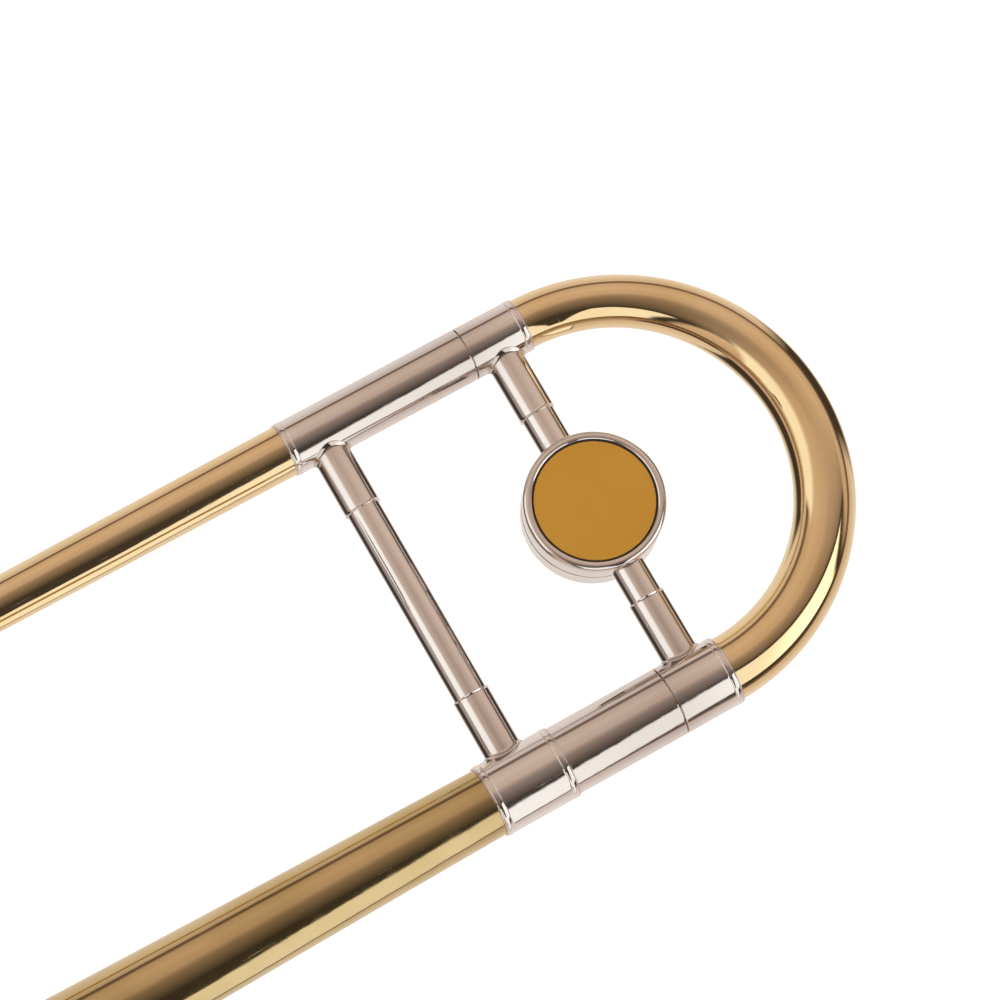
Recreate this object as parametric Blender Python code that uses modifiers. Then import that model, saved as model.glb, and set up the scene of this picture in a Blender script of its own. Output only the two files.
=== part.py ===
"""Straight tenor trombone, whole, in its playing position.

Metres. +X is the way the bell points, +Y runs from the hand slide to the bell, +Z is up.
The origin is on the axis of the lower slide tube, at the joint between the bell section and the
hand slide, where the left hand holds the instrument.
"""
import math

import bmesh
import bpy
from mathutils import Vector

MM = 0.001

# Clearances
SEAT_GAP = 0.12 * MM           # round a tube that is soldered into a sleeve
FACE_GAP = 0.30 * MM           # between faces that butt
SLIDE_GAP = 0.15 * MM          # round a tube that slides or turns
SADDLE_GAP = 0.15 * MM         # under a foot that sits on a tube
SIDES = 16
BELL_SIDES = 32
BELL_RINGS = 14
BELL_RING_CROWDING = 2.6       # how strongly the rings gather towards the rim
WEIGHT_SIDES = 32
ROD_SIDES = 12
WELD_DISTANCE = 0.0001 * MM

# Tuning slide and the receivers that it slides in
LEG_SPACING = 118.0 * MM       # between the axes of the two legs, and of neckpipe and bell
BOW_START_X = -342.0 * MM      # where the bow leaves its ferrules
BOW_NECK_RADIUS = 7.69 * MM
BOW_BELL_RADIUS = 9.70 * MM
BOW_WALL = 0.55 * MM
BOW_STUB = 6.0 * MM            # length of the bow inside each ferrule
BOW_STEPS = 12
FERRULE_LENGTH = 18.67 * MM
NECK_LEG_RADIUS = 7.45 * MM
BELL_LEG_RADIUS = 9.55 * MM
LEG_WALL = 0.45 * MM
LEG_LENGTH = 58.0 * MM
NECK_RECEIVER_WALL = 0.61 * MM
BELL_RECEIVER_WALL = 0.77 * MM
LEG_END_MARGIN = 2.37 * MM     # from the end of the bell-side leg to the end of its receiver
NECK_RECEIVER_EXTRA = 12.0 * MM  # neck-side receiver, longer than the bell-side one by this
BEAD_HEIGHT = 0.25 * MM
BEAD_WIDTH = 2.0 * MM

# Balance weight between the legs of the bow
WEIGHT_AHEAD = 9.3 * MM        # centre of the weight and its struts, ahead of the bow's start
WEIGHT_CENTRE_Y = 57.96 * MM
WEIGHT_RADIUS = 20.74 * MM
WEIGHT_THICKNESS = 18.14 * MM
WEIGHT_EDGE = 1.4 * MM
INLAY_RADIUS = 17.5 * MM
INLAY_THICKNESS = 1.0 * MM
INLAY_SUNK = 0.4 * MM
WEIGHT_SCREW_RADIUS = 2.0 * MM
WEIGHT_SCREW_HEAD_RADIUS = 4.0 * MM
WEIGHT_SCREW_HEAD_HEIGHT = 2.2 * MM
STRUT_IN_WEIGHT = 6.0 * MM

# Braces
ROD_RADIUS = 5.05 * MM
ROD_BORE_RADIUS = 3.9 * MM
SOCKET_STEP = 0.52 * MM        # a socket is this much larger in radius than its rod
SPIGOT_RADIUS = 4.4 * MM
SPIGOT_LENGTH = 5.0 * MM
NECK_SOCKET_REACH = 26.25 * MM # from the neckpipe's axis to the end of a socket on its side
BELL_SOCKET_REACH = 29.35 * MM # from the bell's axis to the end of a socket on its side
FOOT_FLARE = 0.8 * MM
FOOT_HEIGHT = 2.2 * MM
BRACE_IN_FERRULE = 13.1 * MM   # rear brace, from the back edge of the bell ferrule
FRONT_BRACE_X = -43.0 * MM
FRONT_SOCKET_REACH = 21.0 * MM
BELL_FOOT_FLARE = 2.0 * MM
BELL_FOOT_HEIGHT = 4.0 * MM
BELL_FOOT_REACH = 27.0 * MM
NECK_SLEEVE_LENGTH = 21.0 * MM
NECK_SLEEVE_WALL = 1.3 * MM

# Neckpipe and bell
NECK_RADIUS_AT_RECEIVER = 7.82 * MM
NECK_RADIUS_AT_MIDDLE = 7.32 * MM
NECK_RADIUS_AT_TENON = 6.95 * MM
NECK_MIDDLE_X = -167.0 * MM
NECK_IN_RECEIVER = 8.0 * MM
NECK_WALL = 0.5 * MM
BELL_RIM_X = 315.0 * MM
BELL_RIM_RADIUS = 101.6 * MM
BELL_THROAT_RADIUS = 10.08 * MM
BELL_FLARE_POWER = 0.8
BELL_WALL = 0.5 * MM
RIM_WIRE_RADIUS = 1.3 * MM
BELL_FERRULE_LENGTH = 23.9 * MM
BELL_FERRULE_WALL = 0.34 * MM
BELL_IN_FERRULE = 11.0 * MM
BELL_SEAM_X = 55.0 * MM        # where the drawn stem is brazed to the spun flare

# Joint between the bell section and the hand slide
TENON_SLEEVE_WALL = 0.55 * MM
TENON_SLEEVE_LENGTH = 27.0 * MM
TENON_FLANGE_RADIUS = 9.0 * MM
TENON_FLANGE_LENGTH = 3.0 * MM
TENON_CONE_LENGTH = 24.0 * MM
TENON_CONE_RADIUS = 7.5 * MM
TENON_TIP_RADIUS = 6.9 * MM
THREAD_RADIUS = 9.6 * MM
THREAD_LENGTH = 12.5 * MM
RECEIVER_RADIUS = 9.2 * MM
RECEIVER_LENGTH = 38.0 * MM
NUT_WALL = 3.0 * MM
NUT_FLANGE_LENGTH = 4.7 * MM
NUT_SKIRT_LENGTH = 10.7 * MM
KEEPER_LENGTH = 4.0 * MM
KEEPER_WALL = 1.4 * MM

# Hand slide
SLIDE_SPREAD = 86.0 * MM       # between the axes of the upper and lower tubes
BORE_RADIUS = 6.45 * MM
INNER_WALL = 0.40 * MM
STOCKING_STEP = 0.20 * MM
STOCKING_LENGTH = 100.0 * MM
OUTER_WALL = 0.35 * MM
OUTER_TUBE_LENGTH = 600.0 * MM
INNER_END_MARGIN = 4.0 * MM
BARREL_STANDOFF = 6.0 * MM
BARREL_LENGTH = 60.0 * MM
BARREL_BACK = 18.0 * MM
BARREL_CLEARANCE = 0.65 * MM
BARREL_WALL = 1.6 * MM
CORK_LENGTH = 9.5 * MM
TOP_SLEEVE_STANDOFF = 2.0 * MM
TOP_SLEEVE_LENGTH = 34.0 * MM
SLEEVE_WALL = 0.93 * MM
BOW_SLEEVE_LENGTH = 26.0 * MM
SLIDE_BOW_LEG = 20.0 * MM
INNER_BRACE_RADIUS = 3.6 * MM
INNER_BRACE_FROM_BARREL = 12.0 * MM
OUTER_BRACE_RADIUS = 4.5 * MM
BRACE_FLARE = 2.8 * MM
BRACE_FLARE_LENGTH = 6.0 * MM

# Mouthpiece end
MOUTHPIECE_RECEIVER_START = -8.0 * MM
MOUTHPIECE_RECEIVER_LENGTH = 42.0 * MM
MOUTHPIECE_RECEIVER_WALL = 1.6 * MM
SHANK_SEAT_LENGTH = 20.0 * MM
SHANK_RADIUS = 6.15 * MM
SHANK_TIP_RADIUS = 5.75 * MM
SHANK_IN_RECEIVER = 25.0 * MM
MOUTHPIECE_LENGTH = 82.0 * MM
RIM_RADIUS = 19.5 * MM
RIM_INNER_RADIUS = 12.7 * MM
RIM_LENGTH = 5.5 * MM
RIM_ROUNDING = 2.0 * MM
CUP_SHOULDER_STEP = 3.0 * MM
CUP_DEPTH = 23.0 * MM
CUP_WALL = 3.3 * MM
CUP_SHAPE = ((0.0, 1.0), (0.55, 0.84), (0.85, 0.5))  # shares of the depth and of the inner radius
THROAT_RADIUS = 3.2 * MM
THROAT_LENGTH = 6.0 * MM
WAIST_WALL = 3.6 * MM
WAIST_LENGTH = 10.0 * MM
COLLAR_LENGTH = 8.0 * MM
BACKBORE_RADIUS = 4.9 * MM
LEADPIPE_LENGTH = 200.0 * MM
LEADPIPE_WALL = 0.55 * MM

# Slide lock on the lower cork barrel
LOCK_RING_LENGTH = 8.0 * MM
LOCK_RING_WALL = 1.6 * MM
BARREL_LIP_LENGTH = 1.0 * MM
BARREL_LIP_HEIGHT = 1.0 * MM
LOCK_FINGER_WIDTH = 4.0 * MM
LOCK_FINGER_THICKNESS = 1.8 * MM
LOCK_HOOK_WIDTH = 4.0 * MM
LOCK_HOOK_LENGTH = 4.0 * MM
LOCK_STUD_RADIUS = 1.4 * MM
LOCK_STUD_ANGLE = 38.0
LOCK_STUD_FROM_SLEEVE = 3.0 * MM
LOCK_PLAY = 1.2 * MM

# Slide bumper
BUMPER_RADIUS = 6.5 * MM
BUMPER_LENGTH = 10.0 * MM
BUMPER_HOLDER_WALL = 0.8 * MM
BUMPER_HOLDER_LENGTH = 5.0 * MM
BUMPER_EDGE = 1.5 * MM

# Water key under the slide bow
KEY_HOLE_RADIUS = 1.8 * MM
NIPPLE_WALL = 1.3 * MM
NIPPLE_HEIGHT = 4.6 * MM
NIPPLE_BEFORE_BEND = 3.6 * MM
KEY_PIVOT_BEFORE_NIPPLE = 17.0 * MM
KEY_PIVOT_DROP = 5.0 * MM      # pivot axis below the bow sleeve
KEY_SCREW_RADIUS = 1.0 * MM
KEY_HUB_RADIUS = 2.3 * MM
KEY_HUB_LENGTH = 3.0 * MM
KEY_EAR_THICKNESS = 1.4 * MM
KEY_EAR_LENGTH = 7.0 * MM
KEY_SLOT_WIDTH = 8.4 * MM
KEY_SADDLE_FLOOR = 1.2 * MM
KEY_SCREW_HEAD_HEIGHT = 0.9 * MM
KEY_ARM_THICKNESS = 1.8 * MM
KEY_TOUCH_REACH = 34.0 * MM
KEY_TOUCH_DROP = 6.5 * MM
KEY_TOUCH_RADIUS = 5.0 * MM
KEY_PAD_RADIUS = 3.6 * MM
KEY_PAD_THICKNESS = 1.8 * MM
KEY_CUP_THICKNESS = 1.6 * MM
SPRING_WIRE_RADIUS = 0.30 * MM
SPRING_COIL_RADIUS = 2.0 * MM
SPRING_PITCH = 1.06 * MM
SPRING_TURNS = 3.5
SPRING_STEPS = 10              # points a turn

FINISHES = {
    "lacquered_brass": ((0.78, 0.57, 0.24), 0.16, 1.0),
    "nickel_silver": ((0.70, 0.66, 0.62), 0.18, 1.0),
    "chrome": ((0.72, 0.73, 0.75), 0.10, 1.0),
    "cork": ((0.60, 0.43, 0.27), 0.85, 0.0),
    "rubber": ((0.03, 0.03, 0.03), 0.60, 0.0),
    "steel": ((0.60, 0.60, 0.62), 0.25, 1.0),
}

for old in list(bpy.data.objects):
    bpy.data.objects.remove(old)
pieces = bpy.data.collections.new("tenor_trombone")
cutters = bpy.data.collections.new("cutters")
bpy.context.scene.collection.children.link(pieces)
bpy.context.scene.collection.children.link(cutters)

LOWER = Vector((0.0, 0.0, 0.0))
UPPER = Vector((0.0, 0.0, SLIDE_SPREAD))
BELL_AXIS = Vector((0.0, LEG_SPACING, 0.0))
FORWARD = Vector((1.0, 0.0, 0.0))
LEFT = Vector((0.0, 1.0, 0.0))
UP = Vector((0.0, 0.0, 1.0))


# General tools

def around(radius, gap, sides=SIDES):
    """Vertex radius of a bore with flat sides that clears a round of this radius by the gap."""
    return (radius + gap) / math.cos(math.pi / sides)


def empty(name, point, parent=None):
    """An empty that carries the pieces of one moving body, with its origin on the joint's axis."""
    holder = bpy.data.objects.new(name, None)
    holder.empty_display_size = 20 * MM
    holder.parent = parent
    holder.location = Vector(point) - (parent.matrix_world.translation if parent else Vector())
    pieces.objects.link(holder)
    bpy.context.view_layer.update()
    return holder


def finish_material(name, finish):
    colour, roughness, metallic = FINISHES[finish]
    material = bpy.data.materials.new(name + "_" + finish)
    material.use_nodes = True
    shader = material.node_tree.nodes["Principled BSDF"]
    shader.inputs["Base Color"].default_value = (*colour, 1.0)
    shader.inputs["Roughness"].default_value = roughness
    shader.inputs["Metallic"].default_value = metallic
    return material


def add_piece(name, mesh, body, finish, point=(0, 0, 0)):
    """A named piece with its own material, carried by a body's empty; the point is in the world."""
    piece = bpy.data.objects.new(name, mesh)
    pieces.objects.link(piece)
    piece.parent = body
    piece.location = Vector(point) - body.matrix_world.translation
    mesh.materials.clear()
    mesh.materials.append(finish_material(name, finish))
    for face in mesh.polygons:
        face.use_smooth = True
    return piece


def add_world_piece(name, mesh, body, finish):
    """A piece whose mesh was made in world coordinates, with its origin moved to its body's."""
    origin = body.matrix_world.translation
    for vert in mesh.vertices:
        vert.co -= origin
    return add_piece(name, mesh, body, finish, origin)


def add_cutter(name, mesh, point=(0, 0, 0)):
    cutter = bpy.data.objects.new(name, mesh)
    cutters.objects.link(cutter)
    cutter.location = point
    cutter.hide_render = True
    cutter.display_type = "WIRE"
    return cutter


def profile_mesh(name, outer, inner):
    """Half section of a turned piece in the XZ plane; outer and inner list (along, radius) upwards.

    Without an inner list the piece is solid to its axis.
    """
    loop = [(radius, along) for along, radius in reversed(outer)]
    if inner:
        loop += [(radius, along) for along, radius in inner]
        edges = [(i, (i + 1) % len(loop)) for i in range(len(loop))]
    else:
        loop = [(0.0, outer[-1][0])] + loop + [(0.0, outer[0][0])]
        edges = [(i, i + 1) for i in range(len(loop) - 1)]
    mesh = bpy.data.meshes.new(name)
    mesh.from_pydata([(radius, 0.0, along) for radius, along in loop], edges, [])
    return mesh


def spin(target, direction, sides):
    """Turn a profile with a Screw modifier and point its axis along a direction."""
    screw = target.modifiers.new("turn", "SCREW")
    screw.steps = sides
    screw.render_steps = sides
    screw.use_merge_vertices = True
    screw.merge_threshold = 0.000001
    screw.use_smooth_shade = True
    target.rotation_mode = "QUATERNION"
    target.rotation_quaternion = Vector(direction).to_track_quat("Z", "Y")
    return target


def turned(name, body, finish, outer, inner=(), point=(0, 0, 0), direction=FORWARD, sides=SIDES):
    piece = add_piece(name, profile_mesh(name, outer, inner), body, finish, point)
    return spin(piece, direction, sides)


def turned_cutter(name, outer, inner=(), point=(0, 0, 0), direction=FORWARD, sides=SIDES):
    return spin(add_cutter(name, profile_mesh(name, outer, inner), point), direction, sides)


def boolean(target, tool, operation="DIFFERENCE"):
    step = target.modifiers.new(operation.lower() + "_" + tool.name, "BOOLEAN")
    step.object = tool
    step.operation = operation
    step.solver = "EXACT"


def tube(name, body, finish, start, end, radius, wall, axis=LOWER):
    return turned(name, body, finish, [(start, radius), (end, radius)],
                  [(start, radius - wall), (end, radius - wall)], point=axis)


def bead(centre, radius):
    """Three outer points of a raised ring."""
    half = BEAD_WIDTH / 2
    return [(centre - half, radius), (centre, radius + BEAD_HEIGHT), (centre + half, radius)]


def curve_through(name, points, radii, dimensions="3D"):
    """A poly curve through points, with a radius at each for its bevel."""
    curve = bpy.data.curves.new(name + "_path", "CURVE")
    curve.dimensions = dimensions
    spline = curve.splines.new("POLY")
    spline.points.add(len(points) - 1)
    for place, point, radius in zip(spline.points, points, radii):
        place.co = (*point, 1.0)
        place.radius = radius
    return curve


def mesh_from_curve(curve):
    """The welded mesh that Blender makes of a curve with its bevel or its filled outline."""
    guide = bpy.data.objects.new(curve.name, curve)
    pieces.objects.link(guide)
    bpy.context.view_layer.update()
    mesh = bpy.data.meshes.new_from_object(guide.evaluated_get(bpy.context.evaluated_depsgraph_get()))
    bpy.data.objects.remove(guide)
    weld = bmesh.new()
    weld.from_mesh(mesh)
    bmesh.ops.remove_doubles(weld, verts=weld.verts, dist=WELD_DISTANCE)
    weld.to_mesh(mesh)
    weld.free()
    return mesh


def bent_tube(name, body, finish, points, radii, wall):
    """A hollow bend: a curve with a radius at each point, turned to a mesh and solidified."""
    curve = curve_through(name, points, radii)
    curve.bevel_depth = 1.0
    curve.bevel_resolution = SIDES // 2 - 2
    piece = add_world_piece(name, mesh_from_curve(curve), body, finish)
    shell = piece.modifiers.new("wall", "SOLIDIFY")
    shell.thickness = wall
    shell.offset = -1.0
    return piece


def block_mesh(name, low, high):
    """A box between two corners, made from a unit cube."""
    shape = bmesh.new()
    bmesh.ops.create_cube(shape, size=1.0)
    for vert in shape.verts:
        vert.co = Vector([low[i] + (vert.co[i] + 0.5) * (high[i] - low[i]) for i in range(3)])
    mesh = bpy.data.meshes.new(name)
    shape.to_mesh(mesh)
    shape.free()
    return mesh


def plate_mesh(name, outline, thickness):
    """A flat outline in the XZ plane, centred on y = 0, made from a filled 2D curve."""
    curve = curve_through(name, [(x, z, 0.0) for x, z in outline], [1.0] * len(outline), "2D")
    curve.splines[0].use_cyclic_u = True
    curve.fill_mode = "BOTH"
    curve.extrude = thickness / 2
    mesh = mesh_from_curve(curve)
    for vert in mesh.vertices:
        vert.co = Vector((vert.co.x, -vert.co.z, vert.co.y))
    return mesh


# Places that follow from the sizes

NECK_RECEIVER_RADIUS = NECK_LEG_RADIUS + SLIDE_GAP + NECK_RECEIVER_WALL
BELL_RECEIVER_RADIUS = BELL_LEG_RADIUS + SLIDE_GAP + BELL_RECEIVER_WALL
BELL_FERRULE_RADIUS = BELL_RECEIVER_RADIUS + SEAT_GAP + BELL_FERRULE_WALL
FERRULE_END_X = BOW_START_X + FERRULE_LENGTH
RECEIVER_START_X = FERRULE_END_X + FACE_GAP
LEG_START_X = BOW_START_X + BOW_STUB + 2 * FACE_GAP
BELL_RECEIVER_END_X = LEG_START_X + LEG_LENGTH + LEG_END_MARGIN
NECK_RECEIVER_END_X = BELL_RECEIVER_END_X + NECK_RECEIVER_EXTRA
BELL_START_X = BELL_RECEIVER_END_X + FACE_GAP
BELL_FERRULE_END_X = BELL_START_X + BELL_IN_FERRULE
BELL_FERRULE_START_X = BELL_FERRULE_END_X - BELL_FERRULE_LENGTH
NECK_START_X = NECK_RECEIVER_END_X - NECK_IN_RECEIVER
WEIGHT_X = BOW_START_X + WEIGHT_AHEAD
REAR_BRACE_X = BELL_FERRULE_START_X + BRACE_IN_FERRULE
RIM_CURL = RIM_WIRE_RADIUS + FACE_GAP / 2
BELL_EDGE_RADIUS = BELL_RIM_RADIUS - RIM_CURL - BELL_WALL

INNER_RADIUS = BORE_RADIUS + INNER_WALL
STOCKING_RADIUS = INNER_RADIUS + STOCKING_STEP
OUTER_RADIUS = STOCKING_RADIUS + SLIDE_GAP + OUTER_WALL
SLEEVE_RADIUS = OUTER_RADIUS + SEAT_GAP + SLEEVE_WALL
BARREL_BORE = OUTER_RADIUS + BARREL_CLEARANCE
BARREL_RADIUS = BARREL_BORE + BARREL_WALL
RECEIVER_END_X = FACE_GAP + RECEIVER_LENGTH
BARREL_START_X = RECEIVER_END_X + BARREL_STANDOFF
BARREL_END_X = BARREL_START_X + BARREL_LENGTH
CORK_START_X = BARREL_START_X + BARREL_BACK + FACE_GAP
OUTER_START_X = CORK_START_X + CORK_LENGTH + FACE_GAP
OUTER_END_X = OUTER_START_X + OUTER_TUBE_LENGTH
INNER_END_X = OUTER_END_X - INNER_END_MARGIN
TOP_SLEEVE_START_X = BARREL_END_X + TOP_SLEEVE_STANDOFF
TOP_SLEEVE_END_X = TOP_SLEEVE_START_X + TOP_SLEEVE_LENGTH
BOW_SLEEVE_START_X = OUTER_END_X + FACE_GAP / 2 - BOW_SLEEVE_LENGTH / 2
BOW_SLEEVE_END_X = BOW_SLEEVE_START_X + BOW_SLEEVE_LENGTH
SLIDE_BOW_START_X = OUTER_END_X + FACE_GAP
SLIDE_BEND_X = SLIDE_BOW_START_X + SLIDE_BOW_LEG
SLIDE_CROWN_X = SLIDE_BEND_X + SLIDE_SPREAD / 2 + OUTER_RADIUS
LOWER_TUBE_START_X = FACE_GAP * 2 + TENON_CONE_LENGTH
UPPER_TUBE_START_X = MOUTHPIECE_RECEIVER_START + SHANK_SEAT_LENGTH
NIPPLE_X = SLIDE_BEND_X - NIPPLE_BEFORE_BEND
KEY_PIVOT = Vector((NIPPLE_X - KEY_PIVOT_BEFORE_NIPPLE, 0.0, -SLEEVE_RADIUS - KEY_PIVOT_DROP))

# One empty for each moving body, on its joint's axis

inner_slide = empty("inner_slide", LOWER)
bell_section = empty("bell_section", LOWER, inner_slide)
lock_nut = empty("lock_nut", LOWER, bell_section)
tuning_slide = empty("tuning_slide", (FERRULE_END_X, LEG_SPACING / 2, 0), bell_section)
mouthpiece_body = empty("mouthpiece_body", (MOUTHPIECE_RECEIVER_START, 0, SLIDE_SPREAD), inner_slide)
slide_lock = empty("slide_lock", (BARREL_END_X, 0, 0), inner_slide)
outer_slide = empty("outer_slide", (OUTER_START_X, 0, SLIDE_SPREAD / 2), inner_slide)
water_key = empty("water_key", KEY_PIVOT, outer_slide)


# Tuning slide: the bow with its two ferrules and two legs

def bow_points():
    """Centreline and radius of the tuning bow, from the neckpipe's side round to the bell's."""
    reach = LEG_SPACING / 2
    points = [(BOW_START_X + BOW_STUB, 0.0, 0.0)]
    radii = [BOW_NECK_RADIUS]
    for step in range(BOW_STEPS + 1):
        turn = math.pi * step / BOW_STEPS
        points.append((BOW_START_X - reach * math.sin(turn), reach - reach * math.cos(turn), 0.0))
        radii.append(BOW_NECK_RADIUS + (BOW_BELL_RADIUS - BOW_NECK_RADIUS) * step / BOW_STEPS)
    points.append((BOW_START_X + BOW_STUB, LEG_SPACING, 0.0))
    radii.append(BOW_BELL_RADIUS)
    return points, radii


def ferrule(name, axis, radius, leg_radius, bow_radius):
    """Sleeve over the bow's end and the leg's end; its free face meets the receiver."""
    step_x = BOW_START_X + BOW_STUB + FACE_GAP
    outer = bead(BOW_START_X + BEAD_WIDTH / 2, radius) + [(FERRULE_END_X, radius)]
    inner = [(BOW_START_X, around(bow_radius, SEAT_GAP)), (step_x, around(bow_radius, SEAT_GAP)),
             (step_x, leg_radius + SEAT_GAP), (FERRULE_END_X, leg_radius + SEAT_GAP)]
    return turned(name, tuning_slide, "nickel_silver", outer, inner, point=axis)


points, radii = bow_points()
bent_tube("tuning_bow", tuning_slide, "lacquered_brass", points, radii, BOW_WALL)
ferrule("neck_side_ferrule", LOWER, NECK_RECEIVER_RADIUS, NECK_LEG_RADIUS, BOW_NECK_RADIUS)
ferrule("bell_side_ferrule", BELL_AXIS, BELL_RECEIVER_RADIUS, BELL_LEG_RADIUS, BOW_BELL_RADIUS)
tube("neck_side_leg", tuning_slide, "nickel_silver", LEG_START_X, LEG_START_X + LEG_LENGTH,
     NECK_LEG_RADIUS, LEG_WALL)
tube("bell_side_leg", tuning_slide, "nickel_silver", LEG_START_X, LEG_START_X + LEG_LENGTH,
     BELL_LEG_RADIUS, LEG_WALL, BELL_AXIS)


# Sockets, rods and feet of the braces

def saddle_cutter(name, point, direction, radius, half_length):
    """Cylinder on a tube's axis that hollows a foot to sit on the tube."""
    return turned_cutter(name, [(-half_length, radius + SADDLE_GAP), (half_length, radius + SADDLE_GAP)],
                         point=point, direction=direction)


def foot_root(tube_radius, foot_radius):
    """How far from a tube's axis a foot begins, so that its saddle is cut all round."""
    return math.sqrt(tube_radius ** 2 - foot_radius ** 2) - FOOT_FLARE


def spigot_bore(name, point, direction, reach):
    """Cutter for the bore that a rod's spigot goes into, in a socket that reaches this far."""
    radius = around(SPIGOT_RADIUS, SEAT_GAP, ROD_SIDES)
    return turned_cutter(name, [(reach - SPIGOT_LENGTH - FACE_GAP, radius), (reach + FOOT_HEIGHT, radius)],
                         point=point, direction=direction, sides=ROD_SIDES)


def socket(name, body, point, direction, tube_radius, reach):
    """Socket from a tube's surface to its open end; the point is on the tube's axis."""
    radius = ROD_RADIUS + SOCKET_STEP
    outer = [(foot_root(tube_radius, radius + FOOT_FLARE), radius + FOOT_FLARE),
             (tube_radius, radius + FOOT_FLARE),
             (tube_radius + FOOT_HEIGHT / 2, radius + FOOT_FLARE / 4),
             (tube_radius + FOOT_HEIGHT, radius), (reach, radius)]
    piece = turned(name, body, "nickel_silver", outer, point=point, direction=direction, sides=ROD_SIDES)
    boolean(piece, spigot_bore(name + "_bore", point, direction, reach))
    boolean(piece, saddle_cutter(name + "_saddle", point, FORWARD, tube_radius, 4 * radius))
    return piece


def rod(name, body, point, direction, start, end, start_spigot, end_spigot):
    """Tubular rod with a thinner spigot at each end that goes into a socket."""
    outer = [(start, ROD_RADIUS), (end, ROD_RADIUS)]
    if start_spigot:
        outer = [(start - SPIGOT_LENGTH, SPIGOT_RADIUS), (start, SPIGOT_RADIUS)] + outer
    if end_spigot:
        outer = outer + [(end, SPIGOT_RADIUS), (end + SPIGOT_LENGTH, SPIGOT_RADIUS)]
    inner = [(outer[0][0], ROD_BORE_RADIUS), (outer[-1][0], ROD_BORE_RADIUS)]
    return turned(name, body, "nickel_silver", outer, inner, point=point, direction=direction,
                  sides=ROD_SIDES)


def across(x, y=0.0):
    return Vector((x, y, 0.0))


socket("neck_side_strut_socket", tuning_slide, across(WEIGHT_X), LEFT, NECK_RECEIVER_RADIUS,
       NECK_SOCKET_REACH)
socket("bell_side_strut_socket", tuning_slide, across(WEIGHT_X, LEG_SPACING), -LEFT,
       BELL_RECEIVER_RADIUS, BELL_SOCKET_REACH)


# Balance weight: two halves that clamp the struts, a screw, and an inlaid disc on each face

def weight_half(name, face):
    """One half, turned about Z; face is +1 for the upper half and -1 for the lower."""
    centre = Vector((WEIGHT_X, WEIGHT_CENTRE_Y, 0.0))
    top = WEIGHT_THICKNESS / 2
    floor = top - INLAY_SUNK - INLAY_THICKNESS - FACE_GAP
    bezel = INLAY_RADIUS + SEAT_GAP
    strut_bore = around(ROD_RADIUS, SEAT_GAP, ROD_SIDES)
    outer = [(FACE_GAP / 2, WEIGHT_RADIUS - BEAD_HEIGHT), (FACE_GAP / 2 + BEAD_HEIGHT, WEIGHT_RADIUS),
             (top - WEIGHT_EDGE, WEIGHT_RADIUS), (top - WEIGHT_EDGE / 3, WEIGHT_RADIUS - WEIGHT_EDGE / 3),
             (top, WEIGHT_RADIUS - WEIGHT_EDGE)]
    seat = floor - WEIGHT_SCREW_HEAD_HEIGHT - FACE_GAP
    inner = [(FACE_GAP / 2, WEIGHT_SCREW_RADIUS + SEAT_GAP), (seat, WEIGHT_SCREW_RADIUS + SEAT_GAP),
             (seat, WEIGHT_SCREW_HEAD_RADIUS + SEAT_GAP), (floor, WEIGHT_SCREW_HEAD_RADIUS + SEAT_GAP),
             (floor, bezel), (top, bezel)]
    piece = turned(name, tuning_slide, "nickel_silver", outer, inner, point=centre,
                   direction=UP * face, sides=WEIGHT_SIDES)
    for side, sign in (("neck", -1), ("bell", 1)):
        notch = turned_cutter(name + "_" + side + "_notch",
                              [(WEIGHT_RADIUS - STRUT_IN_WEIGHT - 2 * FACE_GAP, strut_bore),
                               (WEIGHT_RADIUS + STRUT_IN_WEIGHT, strut_bore)],
                              point=Vector((WEIGHT_X, WEIGHT_CENTRE_Y, 0.0)), direction=LEFT * sign,
                              sides=ROD_SIDES)
        boolean(piece, notch)
    disc_low = floor + FACE_GAP
    turned(name.replace("half", "inlay"), tuning_slide, "lacquered_brass",
           [(disc_low, INLAY_RADIUS), (disc_low + INLAY_THICKNESS, INLAY_RADIUS)],
           point=centre, direction=UP * face, sides=WEIGHT_SIDES)
    return seat


screw_seat = weight_half("weight_upper_half", 1)
weight_half("weight_lower_half", -1)
screw_top = screw_seat + FACE_GAP + WEIGHT_SCREW_HEAD_HEIGHT - FACE_GAP / 2
turned("weight_screw", tuning_slide, "steel",
       [(-screw_seat, WEIGHT_SCREW_RADIUS), (screw_seat + FACE_GAP / 2, WEIGHT_SCREW_RADIUS),
        (screw_seat + FACE_GAP / 2, WEIGHT_SCREW_HEAD_RADIUS), (screw_top, WEIGHT_SCREW_HEAD_RADIUS)],
       point=(WEIGHT_X, WEIGHT_CENTRE_Y, 0), direction=UP, sides=ROD_SIDES)
rod("neck_side_strut", tuning_slide, across(WEIGHT_X), LEFT, NECK_SOCKET_REACH + FACE_GAP,
    WEIGHT_CENTRE_Y - WEIGHT_RADIUS + STRUT_IN_WEIGHT, True, False)
rod("bell_side_strut", tuning_slide, across(WEIGHT_X, LEG_SPACING), -LEFT, BELL_SOCKET_REACH + FACE_GAP,
    LEG_SPACING - WEIGHT_CENTRE_Y - WEIGHT_RADIUS + STRUT_IN_WEIGHT, True, False)


# Bell section: receivers, neckpipe, bell and its ferrule

def neck_profile():
    """Stations (x, radius) along the neckpipe, from the tenon back to the receiver, as (x, r)."""
    return [(NECK_START_X, NECK_RADIUS_AT_RECEIVER), (NECK_MIDDLE_X, NECK_RADIUS_AT_MIDDLE),
            (-TENON_FLANGE_LENGTH - 2 * FACE_GAP, NECK_RADIUS_AT_TENON)]


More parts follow.
